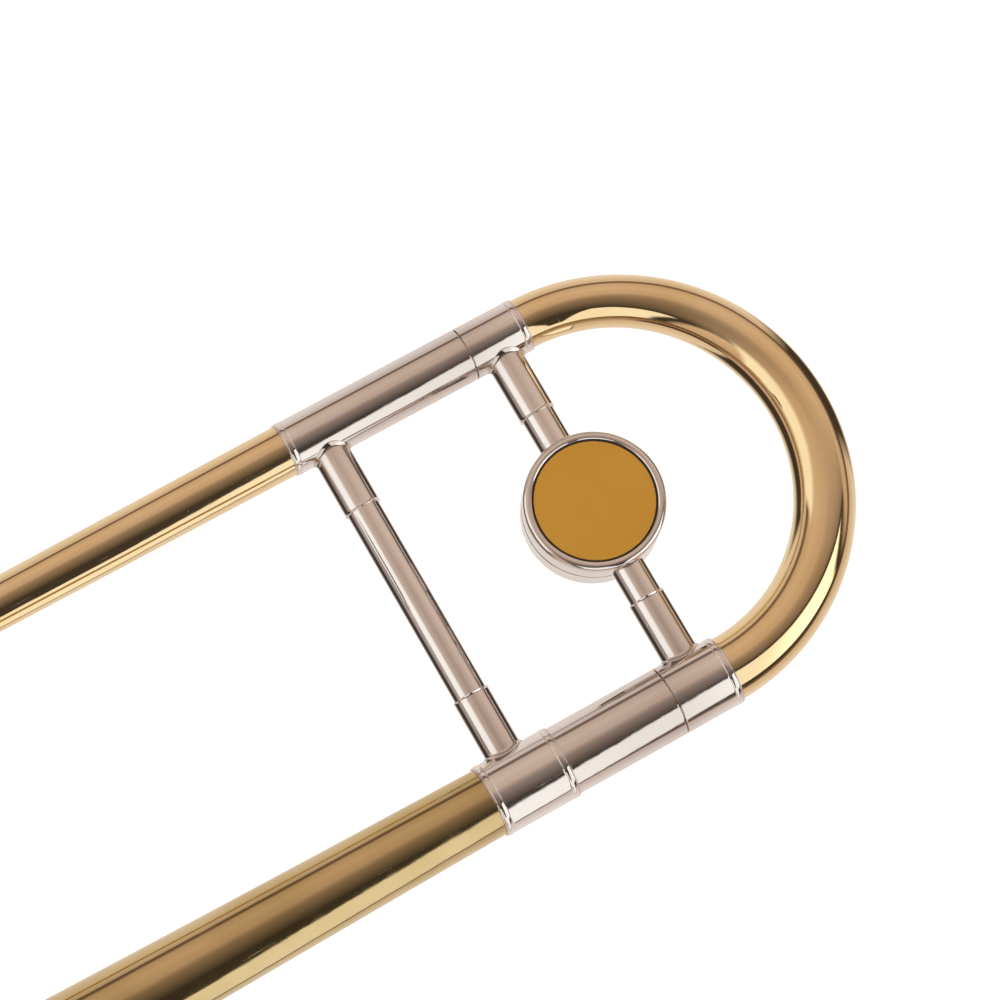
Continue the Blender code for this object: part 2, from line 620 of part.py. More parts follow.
def neck_radius(x):
    stations = neck_profile()
    for (x0, r0), (x1, r1) in zip(stations, stations[1:]):
        if x <= x1:
            return r0 + (r1 - r0) * (x - x0) / (x1 - x0)
    return stations[-1][1]


def bell_radius(x):
    """Outer radius of the bell, a horn that widens as a power of the distance to its rim."""
    length = BELL_RIM_X - BELL_START_X
    ratio = (BELL_EDGE_RADIUS / BELL_THROAT_RADIUS) ** (1 / BELL_FLARE_POWER)
    offset = length / (ratio - 1)
    return BELL_EDGE_RADIUS * ((BELL_RIM_X - x + offset) / offset) ** -BELL_FLARE_POWER


def bell_stations():
    """Stations that crowd together towards the rim, where the horn bends most."""
    length = BELL_RIM_X - BELL_START_X
    return [BELL_RIM_X - length * (1 - step / BELL_RINGS) ** BELL_RING_CROWDING
            for step in range(BELL_RINGS + 1)]


neck_bore = NECK_RADIUS_AT_RECEIVER + SEAT_GAP
neck_stop = NECK_START_X - FACE_GAP
turned("neck_side_receiver", bell_section, "nickel_silver",
       [(RECEIVER_START_X, NECK_RECEIVER_RADIUS)] + bead(NECK_RECEIVER_END_X - BEAD_WIDTH / 2,
                                                         NECK_RECEIVER_RADIUS),
       [(RECEIVER_START_X, NECK_LEG_RADIUS + SLIDE_GAP), (neck_stop, NECK_LEG_RADIUS + SLIDE_GAP),
        (neck_stop, neck_bore), (NECK_RECEIVER_END_X, neck_bore)])
tube("bell_side_receiver", bell_section, "nickel_silver", RECEIVER_START_X, BELL_RECEIVER_END_X,
     BELL_RECEIVER_RADIUS, BELL_RECEIVER_WALL, BELL_AXIS)
turned("bell_ferrule", bell_section, "nickel_silver",
       bead(BELL_FERRULE_START_X + BEAD_WIDTH / 2, BELL_FERRULE_RADIUS)
       + bead(BELL_FERRULE_END_X - BEAD_WIDTH / 2, BELL_FERRULE_RADIUS),
       [(BELL_FERRULE_START_X, BELL_RECEIVER_RADIUS + SEAT_GAP),
        (BELL_START_X, BELL_RECEIVER_RADIUS + SEAT_GAP),
        (BELL_START_X, around(BELL_THROAT_RADIUS, SEAT_GAP)),
        (BELL_FERRULE_END_X, around(BELL_THROAT_RADIUS, SEAT_GAP))], point=BELL_AXIS)
turned("neckpipe", bell_section, "lacquered_brass", neck_profile(),
       [(x, radius - NECK_WALL) for x, radius in neck_profile()])


def around_wire(distance):
    """Four points round the rim wire, from its inner side over the front to behind it."""
    swings = [math.radians(turn) for turn in (-60, 0, 60, 120)]
    return [(BELL_RIM_X + distance * math.cos(swing), BELL_EDGE_RADIUS + distance * math.sin(swing))
            for swing in swings]


def offset_profile(stations, distance):
    """The same profile moved towards the axis by a distance square to its slope."""
    moved = []
    for index, (x, radius) in enumerate(stations):
        before = stations[max(index - 1, 0)]
        after = stations[min(index + 1, len(stations) - 1)]
        run = math.hypot(after[0] - before[0], after[1] - before[1])
        moved.append((x + distance * (after[1] - before[1]) / run,
                      radius - distance * (after[0] - before[0]) / run))
    return moved


# A drawn stem and a spun flare; the flare's sheet runs up behind the rim wire, over it and down round it
stations = [x for x in bell_stations() if BELL_FERRULE_END_X + FOOT_HEIGHT < x < BELL_RIM_X - 2 * RIM_CURL]
stem = [(BELL_START_X, BELL_THROAT_RADIUS), (BELL_FERRULE_END_X + FACE_GAP, BELL_THROAT_RADIUS)]
stem += [(x, max(bell_radius(x), BELL_THROAT_RADIUS)) for x in stations if x < BELL_SEAM_X]
stem.append((BELL_SEAM_X, bell_radius(BELL_SEAM_X)))
flare = [(BELL_SEAM_X + FACE_GAP, bell_radius(BELL_SEAM_X + FACE_GAP))]
flare += [(x, bell_radius(x)) for x in stations if x > BELL_SEAM_X + FOOT_HEIGHT]
stem_inside = offset_profile(stem, BELL_WALL)
stem_inside[0] = (BELL_START_X, stem_inside[0][1])
turned("bell_stem", bell_section, "lacquered_brass", stem, stem_inside, point=BELL_AXIS, sides=BELL_SIDES)
turned("bell_flare", bell_section, "lacquered_brass", flare + around_wire(RIM_CURL),
       offset_profile(flare, BELL_WALL) + around_wire(RIM_CURL + BELL_WALL), point=BELL_AXIS,
       sides=BELL_SIDES)
wire = [(BELL_RIM_X + RIM_WIRE_RADIUS * math.cos(math.radians(a)),
         BELL_EDGE_RADIUS + RIM_WIRE_RADIUS * math.sin(math.radians(a))) for a in range(180, -180, -60)]
turned("bell_rim_wire", bell_section, "steel", wire[:4], wire[:3:-1], point=BELL_AXIS, sides=BELL_SIDES)

# Rear brace, between the neckpipe's receiver and the bell's ferrule
socket("rear_brace_neck_socket", bell_section, across(REAR_BRACE_X), LEFT, NECK_RECEIVER_RADIUS,
       NECK_SOCKET_REACH)
socket("rear_brace_bell_socket", bell_section, across(REAR_BRACE_X, LEG_SPACING), -LEFT,
       BELL_FERRULE_RADIUS, BELL_SOCKET_REACH)
rod("rear_brace_rod", bell_section, across(REAR_BRACE_X), LEFT, NECK_SOCKET_REACH + FACE_GAP,
    LEG_SPACING - BELL_SOCKET_REACH - FACE_GAP, True, True)

# Front brace, from a sleeve on the neckpipe to a foot on the bell
sleeve_start = FRONT_BRACE_X - NECK_SLEEVE_LENGTH / 2
sleeve_end = FRONT_BRACE_X + NECK_SLEEVE_LENGTH / 2
sleeve_radius = neck_radius(sleeve_start) + NECK_SLEEVE_WALL
turned("front_brace_neck_sleeve", bell_section, "nickel_silver",
       bead(sleeve_start + BEAD_WIDTH / 2, sleeve_radius) + bead(sleeve_end - BEAD_WIDTH / 2, sleeve_radius),
       [(x, neck_radius(x) + SEAT_GAP) for x in (sleeve_start, sleeve_end)])
socket("front_brace_neck_socket", bell_section, across(FRONT_BRACE_X), LEFT, sleeve_radius,
       FRONT_SOCKET_REACH)
foot_radius = ROD_RADIUS + SOCKET_STEP
horn_radius = bell_radius(FRONT_BRACE_X)
bell_foot_centre = across(FRONT_BRACE_X, LEG_SPACING)
bell_foot = turned("front_brace_bell_foot", bell_section, "nickel_silver",
                   [(foot_root(horn_radius, foot_radius + BELL_FOOT_FLARE), foot_radius + BELL_FOOT_FLARE),
                    (horn_radius + BEAD_HEIGHT, foot_radius + BELL_FOOT_FLARE),
                    (horn_radius + BELL_FOOT_HEIGHT / 2, foot_radius + FOOT_FLARE / 2),
                    (horn_radius + BELL_FOOT_HEIGHT, foot_radius), (BELL_FOOT_REACH, foot_radius)],
                   point=bell_foot_centre, direction=-LEFT, sides=ROD_SIDES)
boolean(bell_foot, spigot_bore("bell_foot_bore", bell_foot_centre, -LEFT, BELL_FOOT_REACH))
near_foot = [FRONT_BRACE_X + step * foot_radius for step in (-4, -2, 0, 2, 4)]
boolean(bell_foot, turned_cutter("bell_foot_saddle",
                                 [(x, bell_radius(x) + SADDLE_GAP) for x in near_foot],
                                 point=BELL_AXIS, sides=BELL_SIDES))
rod("front_brace_rod", bell_section, across(FRONT_BRACE_X), LEFT, FRONT_SOCKET_REACH + FACE_GAP,
    LEG_SPACING - BELL_FOOT_REACH - FACE_GAP, True, True)


# Joint between the bell section and the hand slide

tenon_radius = NECK_RADIUS_AT_TENON + SEAT_GAP + TENON_SLEEVE_WALL
neck_seat = -TENON_FLANGE_LENGTH - FACE_GAP
turned("bell_tenon", bell_section, "nickel_silver",
       [(-TENON_SLEEVE_LENGTH - TENON_FLANGE_LENGTH, tenon_radius), (-TENON_FLANGE_LENGTH, tenon_radius),
        (-TENON_FLANGE_LENGTH, TENON_FLANGE_RADIUS), (0, TENON_FLANGE_RADIUS), (0, TENON_CONE_RADIUS),
        (TENON_CONE_LENGTH, TENON_TIP_RADIUS)],
       [(-TENON_SLEEVE_LENGTH - TENON_FLANGE_LENGTH, neck_radius(-TENON_SLEEVE_LENGTH) + 2 * SEAT_GAP),
        (neck_seat, NECK_RADIUS_AT_TENON + SEAT_GAP), (neck_seat, BORE_RADIUS),
        (TENON_CONE_LENGTH, BORE_RADIUS)])
nut_back = -TENON_FLANGE_LENGTH - FACE_GAP
nut_bore = around(THREAD_RADIUS, SLIDE_GAP)
nut_radius = nut_bore + NUT_WALL
turned("bell_lock_nut", lock_nut, "nickel_silver",
       [(nut_back - NUT_FLANGE_LENGTH, nut_radius - BEAD_WIDTH / 2),
        (nut_back - NUT_FLANGE_LENGTH + BEAD_WIDTH / 2, nut_radius),
        (NUT_SKIRT_LENGTH - BEAD_WIDTH / 2, nut_radius), (NUT_SKIRT_LENGTH, nut_radius - BEAD_WIDTH / 2)],
       [(nut_back - NUT_FLANGE_LENGTH, around(tenon_radius, SLIDE_GAP)),
        (nut_back, around(tenon_radius, SLIDE_GAP)), (nut_back, nut_bore), (NUT_SKIRT_LENGTH, nut_bore)])
keeper_end = nut_back - NUT_FLANGE_LENGTH - FACE_GAP
turned("nut_keeper_ring", bell_section, "nickel_silver",
       bead(keeper_end - KEEPER_LENGTH / 2, tenon_radius + KEEPER_WALL),
       [(keeper_end - KEEPER_LENGTH / 2 - BEAD_WIDTH / 2, tenon_radius + SEAT_GAP),
        (keeper_end - KEEPER_LENGTH / 2 + BEAD_WIDTH / 2, tenon_radius + SEAT_GAP)])
cone_end = TENON_CONE_LENGTH + FACE_GAP
turned("slide_bell_receiver", inner_slide, "nickel_silver",
       [(FACE_GAP, THREAD_RADIUS), (THREAD_LENGTH, THREAD_RADIUS), (THREAD_LENGTH, RECEIVER_RADIUS),
        (RECEIVER_END_X, RECEIVER_RADIUS)],
       [(FACE_GAP, around(TENON_CONE_RADIUS, SLIDE_GAP)), (cone_end, around(TENON_TIP_RADIUS, SLIDE_GAP)),
        (cone_end, INNER_RADIUS + SEAT_GAP), (RECEIVER_END_X, INNER_RADIUS + SEAT_GAP)])


# Inner slide

def inner_tube(name, start, axis):
    """Drawn tube with a slightly larger stocking at its far end, which is all that rubs."""
    step = INNER_END_X - STOCKING_LENGTH
    return turned(name, inner_slide, "chrome",
                  [(start, INNER_RADIUS), (step - FACE_GAP, INNER_RADIUS), (step, STOCKING_RADIUS),
                   (INNER_END_X, STOCKING_RADIUS)], [(start, BORE_RADIUS), (INNER_END_X, BORE_RADIUS)],
                  point=axis)


def cork_barrel(name, axis, lipped):
    """Sleeve that the outer slide's top runs into; the lower one has a lip that keeps the lock ring."""
    outer = [(BARREL_START_X, BARREL_RADIUS - BEAD_HEIGHT), (BARREL_START_X + BEAD_WIDTH, BARREL_RADIUS)]
    lip_radius = BARREL_RADIUS + BARREL_LIP_HEIGHT
    lip_x = BARREL_END_X - BARREL_LIP_LENGTH
    if lipped:
        ring_back = lip_x - LOCK_RING_LENGTH - 2 * FACE_GAP
        outer += [(ring_back - BEAD_WIDTH, BARREL_RADIUS), (ring_back - BEAD_WIDTH, lip_radius),
                  (ring_back, lip_radius), (ring_back, BARREL_RADIUS), (lip_x, BARREL_RADIUS),
                  (lip_x, lip_radius), (BARREL_END_X, lip_radius)]
    else:
        outer += bead(BARREL_END_X - BEAD_WIDTH / 2, BARREL_RADIUS)
    back = BARREL_START_X + BARREL_BACK
    inner = [(BARREL_START_X, INNER_RADIUS + SEAT_GAP), (back, INNER_RADIUS + SEAT_GAP),
             (back, BARREL_BORE), (BARREL_END_X, BARREL_BORE)]
    return turned(name, inner_slide, "nickel_silver", outer, inner, point=axis)


inner_tube("lower_inner_tube", LOWER_TUBE_START_X, LOWER)
inner_tube("upper_inner_tube", UPPER_TUBE_START_X, UPPER)
cork_barrel("lower_cork_barrel", LOWER, True)
cork_barrel("upper_cork_barrel", UPPER, False)
for level, axis in (("lower", LOWER), ("upper", UPPER)):
    tube(level + "_slide_cork", inner_slide, "cork", CORK_START_X, CORK_START_X + CORK_LENGTH,
         BARREL_BORE - SEAT_GAP, BARREL_BORE - INNER_RADIUS - 2 * SEAT_GAP, axis)


def slide_brace(name, body, x, rod_radius, tube_radius):
    """Upright between the two tubes of a slide, with a flared foot on each."""
    flare = rod_radius + BRACE_FLARE
    low = [(foot_root(tube_radius, flare), flare), (tube_radius + BEAD_HEIGHT, flare),
           (tube_radius + BRACE_FLARE_LENGTH / 2, rod_radius + BRACE_FLARE / 4),
           (tube_radius + BRACE_FLARE_LENGTH, rod_radius)]
    high = [(SLIDE_SPREAD - along, radius) for along, radius in reversed(low)]
    piece = turned(name, body, "nickel_silver", low + high, point=(x, 0, 0), direction=UP, sides=ROD_SIDES)
    for level, axis in (("lower", LOWER), ("upper", UPPER)):
        boolean(piece, saddle_cutter(name + "_" + level, axis + FORWARD * x, FORWARD, tube_radius,
                                     4 * rod_radius))
    return piece


slide_brace("inner_brace", inner_slide, BARREL_START_X + INNER_BRACE_FROM_BARREL, INNER_BRACE_RADIUS,
            BARREL_RADIUS)


# Mouthpiece end

receiver_bore = around(SHANK_RADIUS, SEAT_GAP)
receiver_radius = INNER_RADIUS + SEAT_GAP + MOUTHPIECE_RECEIVER_WALL
receiver_end = MOUTHPIECE_RECEIVER_START + MOUTHPIECE_RECEIVER_LENGTH
turned("mouthpiece_receiver", inner_slide, "nickel_silver",
       bead(MOUTHPIECE_RECEIVER_START + BEAD_WIDTH / 2, receiver_radius)
       + bead(receiver_end - BEAD_WIDTH / 2, receiver_radius),
       [(MOUTHPIECE_RECEIVER_START, receiver_bore), (UPPER_TUBE_START_X - FACE_GAP, receiver_bore),
        (UPPER_TUBE_START_X - FACE_GAP, INNER_RADIUS + SEAT_GAP), (receiver_end, INNER_RADIUS + SEAT_GAP)],
       point=UPPER)
shank_tip_x = MOUTHPIECE_RECEIVER_START + SHANK_IN_RECEIVER
tube("leadpipe", inner_slide, "lacquered_brass", shank_tip_x + FACE_GAP,
     shank_tip_x + FACE_GAP + LEADPIPE_LENGTH, BORE_RADIUS - SEAT_GAP, LEADPIPE_WALL, UPPER)
rim_x = shank_tip_x - MOUTHPIECE_LENGTH
throat_x = rim_x + CUP_DEPTH
cup_foot_radius = RIM_INNER_RADIUS + CUP_WALL - CUP_SHOULDER_STEP
cup = [(rim_x + RIM_ROUNDING + share * (CUP_DEPTH - RIM_ROUNDING), RIM_INNER_RADIUS * radius_share)
       for share, radius_share in CUP_SHAPE]
turned("mouthpiece", mouthpiece_body, "nickel_silver",
       [(rim_x, RIM_RADIUS - RIM_ROUNDING), (rim_x + RIM_ROUNDING, RIM_RADIUS),
        (rim_x + RIM_LENGTH, RIM_RADIUS),
        (rim_x + RIM_LENGTH + CUP_SHOULDER_STEP, RIM_RADIUS - CUP_SHOULDER_STEP),
        (throat_x, cup_foot_radius),
        (throat_x + WAIST_LENGTH, THROAT_RADIUS + WAIST_WALL),
        (throat_x + WAIST_LENGTH + COLLAR_LENGTH, SHANK_RADIUS + SEAT_GAP),
        (MOUTHPIECE_RECEIVER_START - FACE_GAP, SHANK_RADIUS), (shank_tip_x, SHANK_TIP_RADIUS)],
       [(rim_x, RIM_INNER_RADIUS + RIM_ROUNDING)] + cup
       + [(throat_x, THROAT_RADIUS), (throat_x + THROAT_LENGTH, THROAT_RADIUS),
          (shank_tip_x, BACKBORE_RADIUS)],
       point=UPPER)


# Slide lock: a ring on the lower barrel whose hooked finger swings behind a stud on the outer slide

ring_start = BARREL_END_X - BARREL_LIP_LENGTH - LOCK_RING_LENGTH - FACE_GAP
ring_bore = around(BARREL_RADIUS, SLIDE_GAP)
ring_radius = ring_bore + LOCK_RING_WALL
finger_low = BARREL_RADIUS + BARREL_LIP_HEIGHT + 2 * FACE_GAP
finger_high = finger_low + LOCK_FINGER_THICKNESS
stud_x = TOP_SLEEVE_START_X + LOCK_STUD_FROM_SLEEVE
hook_x = stud_x + LOCK_STUD_RADIUS + LOCK_PLAY
lock_ring = turned("slide_lock_ring", slide_lock, "nickel_silver",
                   [(ring_start, ring_radius), (ring_start + LOCK_RING_LENGTH, ring_radius)],
                   [(ring_start, ring_bore), (ring_start + LOCK_RING_LENGTH, ring_bore)])
finger = add_cutter("lock_finger", block_mesh("lock_finger", (
    ring_start + BEAD_WIDTH, -LOCK_FINGER_WIDTH / 2, -finger_high),
    (hook_x + LOCK_HOOK_LENGTH, LOCK_FINGER_WIDTH / 2, -finger_low)))
hook = add_cutter("lock_hook", block_mesh("lock_hook", (
    hook_x, LOCK_FINGER_WIDTH / 4, -finger_high + FACE_GAP),
    (hook_x + LOCK_HOOK_LENGTH - FACE_GAP, LOCK_FINGER_WIDTH / 2 + LOCK_HOOK_WIDTH, -finger_low - FACE_GAP)))
boolean(lock_ring, finger, "UNION")
boolean(lock_ring, hook, "UNION")


# Outer slide

for level, axis in (("lower", LOWER), ("upper", UPPER)):
    tube(level + "_outer_tube", outer_slide, "lacquered_brass", OUTER_START_X, OUTER_END_X, OUTER_RADIUS,
         OUTER_WALL, axis)
    bore = OUTER_RADIUS + SEAT_GAP
    top = turned(level + "_top_sleeve", outer_slide, "nickel_silver",
                 bead(TOP_SLEEVE_START_X + BEAD_WIDTH / 2, SLEEVE_RADIUS)
                 + bead(TOP_SLEEVE_END_X - BEAD_WIDTH / 2, SLEEVE_RADIUS),
                 [(TOP_SLEEVE_START_X, bore), (TOP_SLEEVE_END_X, bore)], point=axis)
    if level == "lower":
        swing = math.radians(LOCK_STUD_ANGLE)
        stud = turned_cutter("lock_stud", [(bore + SLEEVE_WALL / 2, LOCK_STUD_RADIUS),
                                           (finger_high, LOCK_STUD_RADIUS)], point=(stud_x, 0, 0),
                             direction=(0, math.sin(swing), -math.cos(swing)), sides=ROD_SIDES)
        boolean(top, stud, "UNION")
    turned(level + "_bow_sleeve", outer_slide, "nickel_silver",
           bead(BOW_SLEEVE_START_X + BEAD_WIDTH / 2, SLEEVE_RADIUS)
           + bead(BOW_SLEEVE_END_X - BEAD_WIDTH / 2, SLEEVE_RADIUS),
           [(BOW_SLEEVE_START_X, bore), (OUTER_END_X, bore), (OUTER_END_X, around(OUTER_RADIUS, SEAT_GAP)),
            (BOW_SLEEVE_END_X, around(OUTER_RADIUS, SEAT_GAP))], point=axis)
slide_brace("outer_brace", outer_slide, (TOP_SLEEVE_START_X + TOP_SLEEVE_END_X) / 2, OUTER_BRACE_RADIUS,
            SLEEVE_RADIUS)

reach = SLIDE_SPREAD / 2
bend = [(SLIDE_BOW_START_X, 0.0, 0.0)]
for step in range(BOW_STEPS + 1):
    turn = math.pi * step / BOW_STEPS
    bend.append((SLIDE_BEND_X + reach * math.sin(turn), 0.0, reach - reach * math.cos(turn)))
bend.append((SLIDE_BOW_START_X, 0.0, SLIDE_SPREAD))
slide_bow = bent_tube("slide_bow", outer_slide, "lacquered_brass", bend, [OUTER_RADIUS] * len(bend),
                      OUTER_WALL)
boolean(slide_bow, turned_cutter("key_hole", [(OUTER_RADIUS / 2, KEY_HOLE_RADIUS),
                                              (OUTER_RADIUS * 2, KEY_HOLE_RADIUS)],
                                 point=(NIPPLE_X, 0, 0), direction=-UP, sides=ROD_SIDES))


# Rubber bumper on the crown of the slide bow

holder_end = SLIDE_CROWN_X + BUMPER_HOLDER_LENGTH
holder = turned("bumper_holder", outer_slide, "nickel_silver",
                [(SLIDE_CROWN_X - BUMPER_HOLDER_LENGTH / 2, BUMPER_RADIUS),
                 (holder_end, BUMPER_RADIUS)], point=UPPER / 2, sides=ROD_SIDES)
crown = bpy.data.meshes.new("crown_saddle")
ring = bmesh.new()
spun = []
for step in range(SIDES):
    turn = 2 * math.pi * step / SIDES
    spun.append(ring.verts.new((reach + (OUTER_RADIUS + SADDLE_GAP) * math.cos(turn), 0.0,
                                -(OUTER_RADIUS + SADDLE_GAP) * math.sin(turn))))
for one, other in zip(spun, spun[1:] + spun[:1]):
    ring.edges.new((one, other))
ring.to_mesh(crown)
ring.free()
crown_cutter = add_cutter("crown_saddle", crown, (SLIDE_BEND_X, 0, reach))
spin(crown_cutter, LEFT, 4 * BOW_STEPS)
boolean(holder, crown_cutter)
socket_radius = BUMPER_RADIUS - BUMPER_HOLDER_WALL
boolean(holder, turned_cutter("bumper_socket", [(holder_end - BUMPER_HOLDER_LENGTH / 2, socket_radius),
                                                (holder_end + BUMPER_LENGTH, socket_radius)],
                              point=UPPER / 2, sides=ROD_SIDES))
tip_start = holder_end - BUMPER_HOLDER_LENGTH / 2 + FACE_GAP
tip_radius = socket_radius - SEAT_GAP
BUMPER_END_X = tip_start + BUMPER_LENGTH
turned("bumper_tip", outer_slide, "rubber",
       [(tip_start, tip_radius), (BUMPER_END_X - BUMPER_EDGE, tip_radius),
        (BUMPER_END_X, tip_radius - BUMPER_EDGE)], point=UPPER / 2, sides=ROD_SIDES)


# Water key: nipple on the bow, saddle on the sleeve, lever with its cork, screw and spring

nipple_top = OUTER_RADIUS + NIPPLE_HEIGHT
nipple = turned("water_key_nipple", outer_slide, "nickel_silver",
                [(OUTER_RADIUS - NIPPLE_WALL, KEY_HOLE_RADIUS + NIPPLE_WALL),
                 (nipple_top, KEY_HOLE_RADIUS + NIPPLE_WALL)],
                [(OUTER_RADIUS - NIPPLE_WALL, KEY_HOLE_RADIUS), (nipple_top, KEY_HOLE_RADIUS)],
                point=(NIPPLE_X, 0, 0), direction=-UP, sides=ROD_SIDES)
nipple_seat = around(OUTER_RADIUS, SADDLE_GAP)
boolean(nipple, turned_cutter("nipple_saddle", [(NIPPLE_X - 2 * OUTER_RADIUS, nipple_seat),
                                                (NIPPLE_X + 2 * OUTER_RADIUS, nipple_seat)]))
ear_y = KEY_SLOT_WIDTH / 2 + KEY_EAR_THICKNESS
ear_low = KEY_PIVOT.z - KEY_HUB_RADIUS
saddle = add_world_piece("water_key_saddle", block_mesh("water_key_saddle", (
    KEY_PIVOT.x - KEY_EAR_LENGTH / 2, -ear_y, ear_low),
    (KEY_PIVOT.x + KEY_EAR_LENGTH / 2, ear_y, -SLEEVE_RADIUS / 2)), outer_slide, "nickel_silver")
slot = add_cutter("key_slot", block_mesh("key_slot", (
    KEY_PIVOT.x - KEY_EAR_LENGTH, -KEY_SLOT_WIDTH / 2, ear_low - KEY_HUB_RADIUS),
    (KEY_PIVOT.x + KEY_EAR_LENGTH, KEY_SLOT_WIDTH / 2, -SLEEVE_RADIUS - KEY_SADDLE_FLOOR)))
boolean(saddle, slot)
boolean(saddle, turned_cutter("saddle_seat", [(KEY_PIVOT.x - KEY_EAR_LENGTH, SLEEVE_RADIUS + SADDLE_GAP),
                                              (KEY_PIVOT.x + KEY_EAR_LENGTH, SLEEVE_RADIUS + SADDLE_GAP)]))
boolean(saddle, turned_cutter("screw_hole", [(-2 * ear_y, KEY_SCREW_RADIUS + SEAT_GAP),
                                             (2 * ear_y, KEY_SCREW_RADIUS + SEAT_GAP)], point=KEY_PIVOT,
                              direction=LEFT, sides=ROD_SIDES))
turned("water_key_screw", outer_slide, "steel",
       [(-ear_y, KEY_SCREW_RADIUS), (ear_y + FACE_GAP, KEY_SCREW_RADIUS),
        (ear_y + FACE_GAP, 2 * KEY_SCREW_RADIUS),
        (ear_y + FACE_GAP + KEY_SCREW_HEAD_HEIGHT, 2 * KEY_SCREW_RADIUS)],
       point=KEY_PIVOT, direction=LEFT, sides=ROD_SIDES)

pad_top = -nipple_top - FACE_GAP
cup_top = pad_top - KEY_PAD_THICKNESS - FACE_GAP / 2
hub_y = -KEY_SLOT_WIDTH / 2 + FACE_GAP + KEY_HUB_LENGTH
arm = [(NIPPLE_X, cup_top - FACE_GAP / 2), (NIPPLE_X - KEY_PAD_RADIUS - FACE_GAP, cup_top - FACE_GAP / 2),
       (KEY_PIVOT.x, KEY_PIVOT.z + KEY_ARM_THICKNESS / 2),
       (KEY_PIVOT.x - KEY_TOUCH_REACH / 2, KEY_PIVOT.z - KEY_TOUCH_DROP / 2 + KEY_ARM_THICKNESS / 2),
       (KEY_PIVOT.x - KEY_TOUCH_REACH, KEY_PIVOT.z - KEY_TOUCH_DROP + KEY_ARM_THICKNESS / 2)]
under = [(x, z - KEY_ARM_THICKNESS) for x, z in reversed(arm)]
hub_centre = hub_y - KEY_HUB_LENGTH / 2
lever_mesh = plate_mesh("water_key_lever", arm + under, KEY_HUB_LENGTH - FACE_GAP)
for vert in lever_mesh.vertices:
    vert.co.y += hub_centre
lever = add_world_piece("water_key_lever", lever_mesh, water_key, "nickel_silver")
hub = turned_cutter("key_hub", [(hub_y - KEY_HUB_LENGTH, KEY_HUB_RADIUS), (hub_y, KEY_HUB_RADIUS)],
                    point=KEY_PIVOT, direction=LEFT, sides=ROD_SIDES)
cup = turned_cutter("key_cup", [(-cup_top, KEY_PAD_RADIUS), (-cup_top + KEY_CUP_THICKNESS, KEY_PAD_RADIUS)],
                    point=(NIPPLE_X, 0, 0), direction=-UP, sides=ROD_SIDES)
touch_z = KEY_PIVOT.z - KEY_TOUCH_DROP
touch = turned_cutter("key_touch", [(-touch_z - KEY_ARM_THICKNESS / 3, KEY_TOUCH_RADIUS),
                                    (-touch_z + KEY_ARM_THICKNESS / 3, KEY_TOUCH_RADIUS)],
                      point=(KEY_PIVOT.x - KEY_TOUCH_REACH, 0, 0), direction=-UP, sides=ROD_SIDES)
for added in (hub, cup, touch):
    boolean(lever, added, "UNION")
boolean(lever, turned_cutter("hub_bore", [(-2 * ear_y, KEY_SCREW_RADIUS + SLIDE_GAP),
                                          (2 * ear_y, KEY_SCREW_RADIUS + SLIDE_GAP)], point=KEY_PIVOT,
                             direction=LEFT, sides=ROD_SIDES))
turned("water_key_cork", water_key, "cork", [(-pad_top, KEY_PAD_RADIUS - SEAT_GAP),
                                             (-pad_top + KEY_PAD_THICKNESS, KEY_PAD_RADIUS - SEAT_GAP)],
       point=(NIPPLE_X, 0, 0), direction=-UP, sides=ROD_SIDES)


def spring_points():
    """Helix round the key's screw, beside the hub, in the world."""
    start = hub_y + FACE_GAP + SPRING_WIRE_RADIUS
    points = []
    for step in range(int(SPRING_TURNS * SPRING_STEPS) + 1):
        turn = 2 * math.pi * step / SPRING_STEPS
        points.append((KEY_PIVOT.x + SPRING_COIL_RADIUS * math.cos(turn),
                       start + SPRING_PITCH * step / SPRING_STEPS,
                       KEY_PIVOT.z + SPRING_COIL_RADIUS * math.sin(turn)))
    return points


def wire_mesh(name, points, radius):
    """Solid round wire along points, with eight sides and capped ends."""
    curve = curve_through(name, points, [1.0] * len(points))
    curve.bevel_depth = radius
    curve.bevel_resolution = 1
    curve.use_fill_caps = True
    return mesh_from_curve(curve)


coil = spring_points()
add_world_piece("water_key_spring", wire_mesh("water_key_spring", coil, SPRING_WIRE_RADIUS), water_key,
                "steel")
apart = min((Vector(a) - Vector(b)).length for i, a in enumerate(coil)
            for b in coil[i + SPRING_STEPS // 2:])
print("least gap of the spring to itself, mm:", round((apart - 2 * SPRING_WIRE_RADIUS) / MM, 3))
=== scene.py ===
from math import copysign, cos, exp, pi, radians, sin, sqrt

import bmesh
import bpy
import numpy as np
from mathutils import Matrix, Vector


